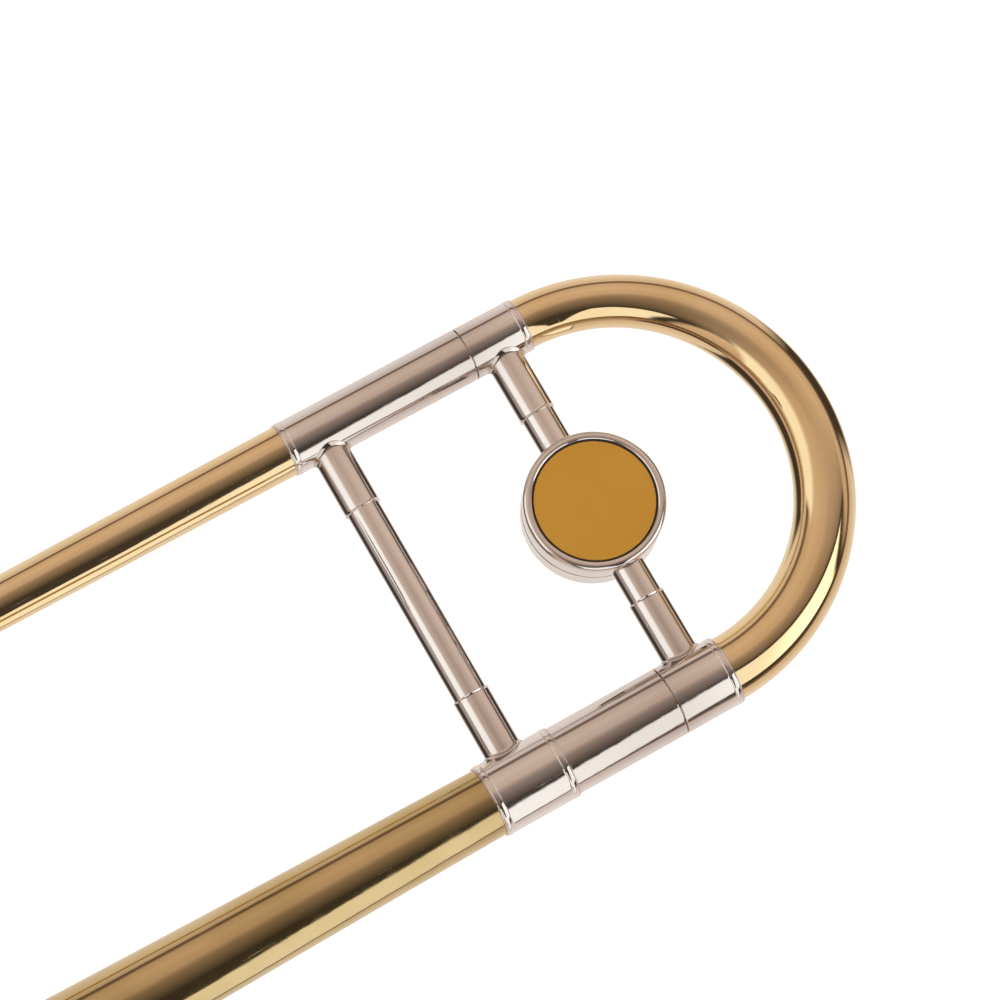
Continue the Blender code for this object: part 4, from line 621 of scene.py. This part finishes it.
rear_brace_x = -274.53
bell_brace("rear", rear_brace_x, neck_receiver_radius, neck_socket_reach, lambda run: bell_ferrule_radius,
           bell_socket_reach, "rear_brace_bell_socket")


# The neckpipe: a brass tube drawn to a slow taper and clear lacquered. It is soldered into the receiver
# behind it and into the tenon in front.
neckpipe_line = [(-271.03, 7.82), (-167.0, 7.32), (-3.6, 6.95)]
neckpipe_wall = 0.5
tenon_sleeve_x = -30
neckpipe_line += [(x, radius - neckpipe_wall) for x, radius in neckpipe_line[::-1]]
put_on(turned("neckpipe_tube", neckpipe_line, joints=[neck_receiver_x[1], tenon_sleeve_x]), tube_brass,
       "bell_section", "lacquered_brass", "neckpipe")


# The bell: a drawn brass stem brazed to a spun flare, one smooth horn after burnishing. Its edge is rolled
# over a steel wire. Spinning and buffing leave very fine rings round the flare.
spun_brass = smudged_metal("lacquered_spun_brass", (0.66, 0.51, 0.26), (0.58, 0.44, 0.20), 0.045, 0.25,
                           (25.0, 2200.0))
bell_start_x, rim_x = -274.73, 315
horn_length = rim_x - bell_start_x
throat_radius, edge_radius = 10.08, 99.65
flare_power = 0.8
bell_wall = 0.5
rim_wire_radius = 1.3
curl = rim_wire_radius + 0.15
horn_steps = 110
crowding = 2.2


def bell_radius(x):
    """Outer radius of the horn at x: a power of the distance to a point beyond the rim."""
    ratio = (edge_radius / throat_radius) ** (1 / flare_power)
    offset = horn_length / (ratio - 1)
    return max(edge_radius * ((rim_x - x + offset) / offset) ** -flare_power, throat_radius)


places = [rim_x - horn_length * (1 - step / horn_steps) ** crowding for step in range(horn_steps + 1)]
horn_line = [(x, bell_radius(x)) for x in places if x < rim_x - curl - bell_wall]
horn_line += [(rim_x + (curl + bell_wall) * cos(turn), edge_radius + (curl + bell_wall) * sin(turn))
              for turn in np.radians(np.arange(165, -61, -15))]
horn_line += [(x, bell_radius(x) - bell_wall) for x in places[::-1] if x < rim_x - 3.2 * curl]
put_on(turned("bell_horn", horn_line, (0, leg_spacing, 0), sides=192, ease=0.05, joints=bell_ferrule_x[1:]),
       spun_brass, "bell_section", "lacquered_brass", "bell_stem", "bell_flare", "bell_rim_wire")


# The front bell brace: a drawn tube between a nickel silver sleeve on the neckpipe and a wide flared foot
# that is shaped to the bell's horn.
front_brace_x = -43
neck_sleeve_x, neck_sleeve_radius, neck_sleeve_bore = (-53.5, -32.5), 8.35, 7.0
front_reaches = (21, 27)
bell_foot_flare, bell_foot_height = 2.0, 4
in_nickel(turned("front_neck_sleeve", sleeve(neck_sleeve_x, neck_sleeve_radius, neck_sleeve_bore, (0, 1)),
                 joints=neck_sleeve_x), "bell_section", "front_brace_neck_sleeve")
bell_brace("front", front_brace_x, neck_sleeve_radius, front_reaches[0],
           lambda run: bell_radius(front_brace_x + run), front_reaches[1], "front_brace_bell_foot",
           bell_foot_flare, bell_foot_height)


# The joint with the hand slide: a nickel silver tenon with a tapered nose, a nut that draws it into the
# slide's receiver, and a ring behind that keeps the nut. The nut's grip is knurled.
tenon_radius, tenon_bore = 7.62, 6.45
flange_x, flange_radius = -3, 9
nose_x, nose_radii = 24, (7.5, 6.9)
pipe_stop_x, pipe_bores = -3.3, (7.05, 7.1)
tenon_line = [(tenon_sleeve_x, tenon_radius), (flange_x, tenon_radius), (flange_x, flange_radius),
              (0.0, flange_radius), (0.0, nose_radii[0]), (nose_x, nose_radii[1]), (nose_x, tenon_bore),
              (pipe_stop_x, tenon_bore), (pipe_stop_x, pipe_bores[0]), (tenon_sleeve_x, pipe_bores[1])]
in_nickel(turned("tenon_nose", tenon_line, joints=[tenon_sleeve_x]), "bell_section", "bell_tenon")


def knurl(ends, fade, depth, teeth, least, power=1.0):
    """A warp for turned(): straight knurling between two ends, where the radius is over the least one."""
    def cut(along, radius, angle):
        inside = min(1.0, (along - ends[0]) / fade, (ends[1] - along) / fade)
        if radius < least or inside <= 0:
            return radius
        return radius - depth * inside * abs(sin(teeth * angle / 2)) ** power
    return cut


nut_x, nut_radius, nut_slope = (-8.0, 10.7), 12.94, (1.0, 1.2)
nut_grip_x, nut_grip_fade = (-5.5, 8.2), 0.5
nut_thread, nut_bore, nut_seat_x = 9.95, 7.9, -3.3
nut_line = [(nut_x[0], nut_radius - nut_slope[1]), (nut_x[0] + nut_slope[0], nut_radius),
            (nut_grip_x[0], nut_radius), (nut_grip_x[0] + nut_grip_fade, nut_radius),
            (nut_grip_x[1] - nut_grip_fade, nut_radius), (nut_grip_x[1], nut_radius),
            (nut_x[1] - nut_slope[0], nut_radius), (nut_x[1], nut_radius - nut_slope[1]),
            (nut_x[1], nut_thread), (nut_seat_x, nut_thread), (nut_seat_x, nut_bore), (nut_x[0], nut_bore)]
in_nickel(turned("knurled_lock_nut", nut_line, sides=480, ease=0.15, joints=nut_grip_x,
                 warp=knurl(nut_grip_x, nut_grip_fade, depth=0.32, teeth=60, least=nut_radius - 0.05,
                            power=0.7)), "lock_nut", "bell_lock_nut")

keeper_x, keeper_half, keeper_round = -10.3, 1, 0.25
keeper_bore, keeper_radius = 7.74, 9.02
keeper_line = [(keeper_x - keeper_half, keeper_bore)]
keeper_line += [(keeper_x - keeper_half * cos(turn), keeper_radius + keeper_round * sin(turn))
                for turn in np.linspace(0, pi, 7)]
keeper_line += [(keeper_x + keeper_half, keeper_bore)]
in_nickel(turned("keeper_ring", keeper_line, ease=0.05), "bell_section", "nut_keeper_ring")

thread_pitch, thread_turns, thread_end_x = 1.25, 8, 12.5
thread_root, thread_crest = 9.2, 9.6
thread_start_x, thread_flank, thread_runout = 0.8, 0.5, 0.6
receiver_x, receiver_step_x, receiver_bore = (0.3, 38.3), 24.3, 6.97
socket_taper = (7.2, 7.8)
receiver_line = [(receiver_x[0], thread_root)]
for step in range(thread_turns):
    flank_x = thread_start_x + step * thread_pitch
    receiver_line += [(flank_x, thread_root), (flank_x + thread_flank, thread_crest)]
receiver_line += [(thread_end_x - thread_runout, thread_crest), (thread_end_x, thread_crest),
                  (thread_end_x, thread_root), (receiver_x[1], thread_root), (receiver_x[1], receiver_bore),
                  (receiver_step_x, receiver_bore), (receiver_step_x, socket_taper[0]),
                  (receiver_x[0], socket_taper[1])]
in_nickel(turned("slide_receiver_tube", receiver_line, ease=0.15, joints=[receiver_x[1], thread_end_x]),
          "inner_slide", "slide_bell_receiver")


# The inner slide: two drawn tubes, hard chromed, a shade thicker over the last stretch, which is all that
# rubs. Each is soldered into a cork barrel; the lower goes on into the bell's receiver. A thin brass
# leadpipe lies inside the upper tube.
chrome = smudged_metal("hard_chrome", (0.70, 0.71, 0.73), (0.64, 0.65, 0.68), 0.06, 0.0, (1500.0, 40.0))
slide_spread = 86
slide_levels = (("lower", 0), ("upper", slide_spread))
inner_radius, stocking_radius, bore_radius = 6.85, 7.05, 6.45
inner_start_x = {"lower": 24.6, "upper": 12.0}
stocking_x, inner_end_x = 568.4, 668.4
for level, z in slide_levels:
    start = inner_start_x[level]
    tube_line = [(start, inner_radius), (stocking_x - 0.6, inner_radius), (stocking_x, stocking_radius),
                 (inner_end_x, stocking_radius), (inner_end_x, bore_radius), (start, bore_radius)]
    put_on(turned(level + "_slide_tube", tube_line, (0, 0, z), ease=0.3, joints=[stocking_x]), chrome,
           "inner_slide", "chrome", level + "_inner_tube")
leadpipe_x, leadpipe_radius, leadpipe_bore = (17.3, 217.3), 6.33, 5.78
put_on(turned("leadpipe_tube", sleeve(leadpipe_x, leadpipe_radius, leadpipe_bore), (0, 0, slide_spread)),
       tube_brass, "inner_slide", "lacquered_brass", "leadpipe")

barrel_x, barrel_radius = (44.3, 104.3), 9.8
barrel_bore, barrel_back_x, barrel_neck = 8.2, 62.3, inner_radius + 0.1
barrel_slope, barrel_ring = ((0, 1.6), (0.9, 0.5)), 2.4
lip_radius, lip_width, lip_gap = 10.8, 2, 0.3
lock_ring_x = (95.0, 103.0)
lips = (lock_ring_x[0] - lip_gap, lock_ring_x[1] + lip_gap)
barrel_ends = {"lower": [(lips[0] - lip_width, barrel_radius), (lips[0] - lip_width, lip_radius),
                         (lips[0], lip_radius), (lips[0], barrel_radius), (lips[1], barrel_radius),
                         (lips[1], lip_radius), (barrel_x[1], lip_radius)],
               "upper": ring_mark(barrel_x[1] - ring_inset, barrel_radius) + [(barrel_x[1], barrel_radius)]}
for level, z in slide_levels:
    barrel_line = [(barrel_x[0] + along, barrel_radius - drop) for along, drop in barrel_slope]
    barrel_line += ring_mark(barrel_x[0] + barrel_ring, barrel_radius) + barrel_ends[level]
    barrel_line += [(barrel_x[1], barrel_bore), (barrel_back_x, barrel_bore), (barrel_back_x, barrel_neck),
                    (barrel_x[0], barrel_neck)]
    in_nickel(turned(level + "_barrel", barrel_line, (0, 0, z), joints=barrel_x), "inner_slide",
              level + "_cork_barrel")

cork_finish, tree, shader, place = new_finish("pressed_cork")
cork_tones = [(0.0, (0.36, 0.22, 0.11)), (0.35, (0.58, 0.40, 0.24)), (1.0, (0.68, 0.50, 0.32))]
grain = wired(tree, "ShaderNodeTexVoronoi", {"Vector": place, "Scale": 900.0, "Randomness": 1.0}).outputs
cloud = noise(tree, place, 260.0, 4.0)
pith = blend(tree, cloud, ramp(tree, grain["Color"], cork_tones), (0.62, 0.45, 0.28, 1.0))
feed(shader, {"Base Color": pith, "Roughness": maths(tree, "MULTIPLY_ADD", cloud, 0.3, 0.65),
              "Normal": bump(tree, grain["Distance"], 0.5, 0.15)})
cork_x, cork_radius, cork_bore = (62.6, 72.1), 8.08, 6.97
for level, z in slide_levels:
    put_on(turned(level + "_cork_ring", sleeve(cork_x, cork_radius, cork_bore), (0, 0, z), ease=0.3),
           cork_finish, "inner_slide", "cork", level + "_slide_cork")


# The slide braces: nickel silver tubes between two sleeves, with broad flared feet; the left hand holds the
# inner one and the right hand the outer one.
foot_spread, foot_rise, foot_hem = 2.8, 6, 0.32


def grip_brace(name, x, rod, tube_radius):
    """An upright from the lower tube's top to the upper tube's underside."""
    foot, spread, climb = rod + foot_spread, foot_spread - 0.12, foot_rise - foot_hem
    low = [(foot - 0.05, -0.05, 1.0), (foot, 0.15, 1.0), (foot - 0.08, 0.30, 1.0)]
    low += [(rod + spread * (1 - share) ** 2, foot_hem + climb * share ** 1.2, 1.0)
            for share in np.linspace(0.05, 1.0, 12)]
    low += [(rod, foot_rise + 0.5, 1.0), (rod, foot_rise + 4, 0.0)]
    skin, edge = [], []
    for upper, order in ((False, low), (True, low[::-1])):
        for radius, height, share in order:
            ring = []
            for angle in circle(72):
                run, aside = radius * cos(angle), radius * sin(angle)
                level = share * sqrt(tube_radius ** 2 - aside ** 2) + (1 - share) * tube_radius + height
                ring.append((x + run, aside, slide_spread - level if upper else level))
            skin.append(ring)
            edge.append(share * 0.8)
    return skinned(name, skin, edge, closed=False, capped=True)


left_brace_x, left_rod_radius = 56.3, 3.6
in_nickel(grip_brace("left_hand_brace", left_brace_x, left_rod_radius, barrel_radius), "inner_slide",
          "inner_brace")


# The mouthpiece's receiver and the mouthpiece: both turned from bar and plated silver bright. The receiver
# is soldered over the upper tube; the mouthpiece's tapered shank is only pushed in.
mouth_receiver_x, mouth_receiver_radius = (-8, 34), 8.57
mouth_bores, mouth_step_x = (6.3, 6.97), 11.7
ring_places = (1.6, 4.4, 7.2, 40.65)
receiver_line = [(mouth_receiver_x[0], mouth_bores[0]), (mouth_receiver_x[0], mouth_receiver_radius)]
for place in ring_places:
    receiver_line += ring_mark(mouth_receiver_x[0] + place, mouth_receiver_radius)
receiver_line += [(mouth_receiver_x[1], mouth_receiver_radius), (mouth_receiver_x[1], mouth_bores[1]),
                  (mouth_step_x, mouth_bores[1]), (mouth_step_x, mouth_bores[0])]
in_nickel(turned("mouth_receiver_tube", receiver_line, (0, 0, slide_spread), joints=mouth_receiver_x),
          "inner_slide", "mouthpiece_receiver")
silver = smudged_metal("bright_plated_silver", (0.80, 0.785, 0.76), (0.72, 0.69, 0.64), 0.05, 0.0,
                       (60.0, 4200.0))
outer_line = [(-65.0, 15.4), (-64.75, 17.2), (-64.0, 18.6), (-62.8, 19.35), (-61.3, 19.5), (-59.6, 19.1),
              (-58.4, 18.0), (-57.6, 16.9), (-56.4, 16.45), (-53.0, 15.9), (-49.0, 14.6), (-45.0, 12.2),
              (-42.0, 9.7), (-40.0, 8.2), (-38.4, 7.4), (-37.4, 7.25), (-36.6, 7.9), (-35.6, 8.35),
              (-34.6, 7.9), (-33.8, 7.0), (-31.0, 6.75), (-26.0, 6.5), (-20.0, 6.33), (-8.3, 6.15),
              (17.0, 5.75)]
inner_line = [(17.0, 4.9), (-36.0, 3.2), (-42.0, 3.2), (-43.6, 3.9), (-45.2, 6.0), (-47.5, 8.2),
              (-51.0, 10.2), (-56.0, 11.8), (-61.0, 12.55), (-63.4, 12.75), (-64.6, 13.6)]
put_on(turned("tenor_mouthpiece", outer_line + inner_line, (0, 0, slide_spread), sides=144, ease=0.9), silver,
       "mouthpiece_body", "nickel_silver", "mouthpiece")


# The slide lock: a turned ring that runs between two lips of the lower barrel. Its hooked finger swings
# behind a stud on the outer slide's top sleeve and keeps the slide in.
ring_radius, ring_bore, ring_waist = 11.75, 10.0, 11.6
waist_x = (lock_ring_x[0] + 2.0, lock_ring_x[1] - 2.0)
shoulder = 0.4
ring_line = [(lock_ring_x[0], ring_bore), (lock_ring_x[0], ring_radius), (waist_x[0] - shoulder, ring_radius),
             (waist_x[0], ring_waist), (waist_x[1], ring_waist), (waist_x[1] + shoulder, ring_radius),
             (lock_ring_x[1], ring_radius), (lock_ring_x[1], ring_bore)]
in_nickel(turned("lock_grip_ring", ring_line, sides=384, ease=0.12,
                 warp=knurl(waist_x, fade=0.2, depth=0.22, teeth=48, least=11)), "slide_lock",
          "slide_lock_ring")


def soft_bar(name, low, high, round_off):
    """A bar between two corners with rounded edges."""
    bar = bmesh.new()
    bmesh.ops.create_cube(bar, size=1.0)
    for vert in bar.verts:
        vert.co = [low[i] + (vert.co[i] + 0.5) * (high[i] - low[i]) for i in range(3)]
    bmesh.ops.bevel(bar, geom=bar.edges[:], offset=round_off, segments=4, profile=0.5, affect="EDGES")
    return piece_of(name, bar)


finger_box = ((97, -2, -13.2), (115.9, 2, -11.4))
hook_box = ((111.9, 0.5, -13.0), (115.6, 6, -11.6))
finger_round = 0.5
in_nickel(soft_bar("lock_finger", *finger_box, finger_round), "slide_lock")
in_nickel(soft_bar("lock_hook", *hook_box, finger_round), "slide_lock")


# The outer slide: two light brass tubes in nickel silver sleeves at the top, joined at the far end by the
# slide bow. The lower top sleeve has the stud that the lock's finger catches.
outer_radius, outer_wall = 7.55, 0.35
outer_x = (72.4, 672.4)
sleeve_ends = {"top": (106.3, 140.3), "bow": (659.55, 685.55)}
sleeve_radius, sleeve_bore = 8.6, 7.67
tube_line = sleeve(outer_x, outer_radius, outer_radius - outer_wall)
tube_joints = [sleeve_ends["top"][1], sleeve_ends["bow"][0]]
for level, z in slide_levels:
    put_on(turned(level + "_running_tube", tube_line, (0, 0, z), ease=0.1, joints=tube_joints), tube_brass,
           "outer_slide", "lacquered_brass", level + "_outer_tube")
    for where, ends in sleeve_ends.items():
        sleeve_line = sleeve(ends, sleeve_radius, sleeve_bore, (0, 1))
        in_nickel(turned(f"{level}_{where}_ferrule", sleeve_line, (0, 0, z), joints=ends), "outer_slide",
                  f"{level}_{where}_sleeve")
stud_x, stud_turn = 109.3, radians(38.0)
stud_line = [(8.2, 0.0), (8.2, 1.4), (11.9, 1.25), (12.2, 1.4), (13.1, 1.4), (13.2, 0.0)]
in_nickel(turned("lock_stud", stud_line, (stud_x, 0, 0), (0, sin(stud_turn), -cos(stud_turn)), 48,
                 ease=0.3), "outer_slide")
right_brace_x, right_rod_radius = 123.3, 4.5
in_nickel(grip_brace("right_hand_brace", right_brace_x, right_rod_radius, sleeve_radius), "outer_slide",
          "outer_brace")
slide_bend_x, slide_stub_xs = 692.7, (672.7, 691.7)
slide_taper = ((0, outer_radius), (180, outer_radius))
put_on(u_tube("hand_slide_bow", slide_bend_x, slide_spread, (0, 0, -1), (1, 0, 0), (0, 1, 0), slide_stub_xs,
              slide_taper, outer_wall), tube_brass, "outer_slide", "lacquered_brass", "slide_bow")


# The bumper: a black rubber tip pressed into a nickel silver cup that is soldered to the crown of the slide
# bow. It takes the knock when the slide is put down.
rubber_tones = [(0.35, (0.018, 0.018, 0.019)), (0.62, (0.032, 0.031, 0.030)), (0.78, (0.09, 0.085, 0.08))]
rubber = dull_stuff("black_rubber", 520.0, 6.0, rubber_tones, (0.42, 0.35), (0.35, 0.1), Roughness=0.7)
crown_x = 743.25
cup_depth, cup_skirt, cup_reach, cup_hug = 5, 1.5, 7.3, 0.9
cup_line = [(-0.4, 8.0), (0.25, 8.1), (1.2, 7.0), (2.2, 6.55), (cup_depth - 0.9, 6.5),
            (cup_depth - 0.5, 6.75), (cup_depth, 6.6), (cup_depth, 5.72), (cup_depth - 2.4, 5.72), (0.8, 5.0)]
cup = turned("bumper_cup", cup_line, (crown_x, 0, slide_spread / 2), ease=0.25)
for vert in cup.data.vertices:
    aside, height = min(abs(vert.co.x) / MM, cup_reach), vert.co.z / MM
    if height < cup_skirt:
        drop = outer_radius - sqrt(outer_radius ** 2 - aside ** 2)
        vert.co.z -= cup_hug * drop * (1 - max(height, 0.0) / cup_skirt) * MM
in_nickel(cup, "outer_slide", "bumper_holder")
tip_x, tip_radius, tip_round = (746.05, 756.05), 5.6, 2.2
tip_line = [(tip_x[0], 0.0), (tip_x[0], tip_radius), (tip_x[1] - tip_round, tip_radius),
            *outer_corner(tip_x[1], tip_radius, tip_round, np.linspace(0.2, pi / 2, 7)), (tip_x[1], 0.0)]
put_on(turned("rubber_tip", tip_line, (0, 0, slide_spread / 2), ease=0.1), rubber,
       "outer_slide", "rubber", "bumper_tip")


# The water key under the slide bow: a nipple over a small hole, a saddle with two ears on the sleeve, and a
# sprung nickel silver lever that presses a cork on the nipple. A steel screw is its pivot.
steel = smudged_metal("bright_steel", (0.60, 0.60, 0.62), (0.50, 0.50, 0.52), 0.16, 0.0, (2000.0, 60.0))
pivot = Vector((672.1, 0.0, -13.6))
nipple_x, nipple_top = 689.1, 12.15
nipple_radius, nipple_flare, nipple_bore = 3.1, 1.3, 1.8
nipple_end = nipple_top - outer_radius
nipple_rings = [(4.4, -0.05, 1.0), (4.45, 0.12, 1.0)]
nipple_rings += [(nipple_radius + nipple_flare * (1 - share) ** 2, 0.2 + 1.6 * share, 1 - share)
                 for share in np.linspace(0.0, 1.0, 9)]
nipple_rings += [(nipple_radius, nipple_end - 0.3, 0.0), (2.95, nipple_end - 0.05, 0.0),
                 (2.8, nipple_end, 0.0), (1.95, nipple_end, 0.0), (nipple_bore, nipple_end - 0.2, 0.0),
                 (nipple_bore, -0.2, 0.0)]
in_nickel(post_on_tube("key_nipple", (nipple_x, 0, 0), (0, 0, -1), outer_radius, nipple_rings), "outer_slide",
          "water_key_nipple")

ear_y, ear_radius = (4.2, 5.6), 2.3
cheek_top = 1.6 - sleeve_radius
for hand, side in (("right", -1), ("left", 1)):
    near, far = sorted((side * ear_y[0], side * ear_y[1]))
    in_nickel(turned("key_ear_" + hand, pin(*ear_y, ear_radius), pivot, (0, side, 0), 64, ease=0.3),
              "outer_slide")
    in_nickel(soft_bar("key_cheek_" + hand, (pivot.x - ear_radius, near, pivot.z),
                       (pivot.x + ear_radius, far, cheek_top), 0.3), "outer_slide")

pad_half, pad_turn, pad_sink = 3.5, 0.78, 0.1
pad_edge, pad_top = (0.9, 0.3), 1.15
pad_line = [(-pad_half, -pad_sink), (-pad_half, pad_edge[0]), (-pad_half + pad_edge[1], pad_top)]
pad_line += [(-run, lift) for run, lift in pad_line[::-1]]
strip = bmesh.new()
grid = [[strip.verts.new((pivot.x + run, (sleeve_radius + lift) * sin(angle),
                          -(sleeve_radius + lift) * cos(angle)))
         for angle in np.linspace(-pad_turn, pad_turn, 25)] for run, lift in pad_line]
for one, other in zip(grid, grid[1:] + grid[:1]):
    for side in range(len(one) - 1):
        strip.faces.new((one[side], one[side + 1], other[side + 1], other[side]))
for end in (0, -1):
    strip.faces.new([ring[end] for ring in grid])
in_nickel(piece_of("key_saddle_pad", strip), "outer_slide", "water_key_saddle")

screw_radius, screw_head, screw_ends = 1.0, (2.0, 1.9), (ear_y[1] + 0.3, ear_y[1] + 1.2)
screw_line = [(-ear_y[1], 0.0), (-ear_y[1], screw_radius), (screw_ends[0], screw_radius),
              (screw_ends[0], screw_head[0]), (screw_ends[1], screw_head[1]), (screw_ends[1], 0.0)]
put_on(turned("key_pivot_screw", screw_line, pivot, (0, 1, 0), 48, ease=0.2), steel,
       "outer_slide", "steel", "water_key_screw")

hub_y, hub_radius, hub_bore = (-3.9, -0.9), 2.3, 1.15
hub_line = [(-hub_y[0], hub_bore), (-hub_y[0], hub_radius), (-hub_y[1], hub_radius), (-hub_y[1], hub_bore)]
in_nickel(turned("key_hub", hub_line, pivot, (0, -1, 0), 64, ease=0.25), "water_key", "water_key_lever")

cork_top = nipple_top + 0.3
cup_z = -cork_top - 1.95
touch_x, touch_z = pivot.x - 34, -20.1
lever_y, lever_centred_at = sum(hub_y) / 2, 14
lever_wide, lever_thick, lever_full_at = (1.35, 1.7), (0.95, 0.7), 20
lever_line = [(nipple_x + 0.5, cup_z - 1.0), (nipple_x - 3.6, cup_z - 1.0), (pivot.x + 8, -15.0),
              (pivot.x, pivot.z - 0.6), (pivot.x - 10, -14.9), (pivot.x - 20, -17.0), (pivot.x - 30, -19.3),
              (touch_x, touch_z)]


def squared(value):
    """A sine or cosine that makes a rounded bar's section instead of a circle."""
    return copysign(abs(value) ** 0.6, value)


lever_rings = []
for spot in np.linspace(0, len(lever_line) - 1, 60):
    index = min(int(spot), len(lever_line) - 2)
    before, here = lever_line[max(index - 1, 0)], lever_line[index]
    after, beyond = lever_line[index + 1], lever_line[min(index + 2, len(lever_line) - 1)]
    share = spot - index
    x, z = [0.5 * (2 * b + (c - a) * share + (2 * a - 5 * b + 4 * c - d) * share ** 2
                   + (3 * b - a - 3 * c + d) * share ** 3) for a, b, c, d in zip(before, here, after, beyond)]
    away = abs(x - pivot.x)
    wide, thick = [np.interp(away, (0, lever_full_at), halves) for halves in (lever_wide, lever_thick)]
    y = lever_y * (1 - min(1.0, away / lever_centred_at))
    lever_rings.append([(x, y + wide * squared(cos(angle)), z + thick * squared(sin(angle)))
                        for angle in circle(28)])
in_nickel(skinned("key_lever_arm", lever_rings, closed=False), "water_key")
touch_line = [(-1.0, 0.0), (-0.9, 4.2), (-0.2, 5.0), (0.5, 4.6), (0.65, 2.5), (0.5, 0.0)]
in_nickel(turned("key_thumb_touch", touch_line, (touch_x, 0, touch_z), (-0.2, 0, -1), 72, ease=0.5),
          "water_key")
cup_line = [(1.6, 0.0), (1.5, 2.4), (0.9, 3.4), (-0.8, 3.6), (-0.8, 3.3), (0.1, 3.2), (0.1, 0.0)]
in_nickel(turned("key_cork_cup", cup_line, (nipple_x, 0, cup_z), (0, 0, -1), 72, ease=0.25),
          "water_key")
pad_cork_line = pin(cork_top, cork_top + 1.8, 3.45)
put_on(turned("key_cork_pad", pad_cork_line, (nipple_x, 0, 0), (0, 0, -1), 64, ease=0.25),
       cork_finish, "water_key", "cork", "water_key_cork")

coil_radius, coil_wire, coil_pitch, coil_turns = 2.0, 0.30, 1.06, 3.5
coil_y = hub_y[1] + 0.6
coil_rings = []
for spot in np.linspace(0, coil_turns, 240):
    away = Vector((cos(2 * pi * spot), 0, sin(2 * pi * spot)))
    centre = pivot + coil_radius * away + Vector((0, coil_y + coil_pitch * spot, 0))
    coil_rings.append([centre + coil_wire * (cos(angle) * away + sin(angle) * Vector((0, 1, 0)))
                       for angle in circle(14)])
put_on(skinned("key_coil_spring", coil_rings, closed=False), steel, "water_key", "steel", "water_key_spring")


# The screw that holds the halves of the weight together lies inside them, out of sight. It keeps its CAD
# mesh, in bright steel.
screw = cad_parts["weight_screw"]
screw.data.materials.clear()
screw.data.materials.append(steel)

bpy.context.view_layer.update()
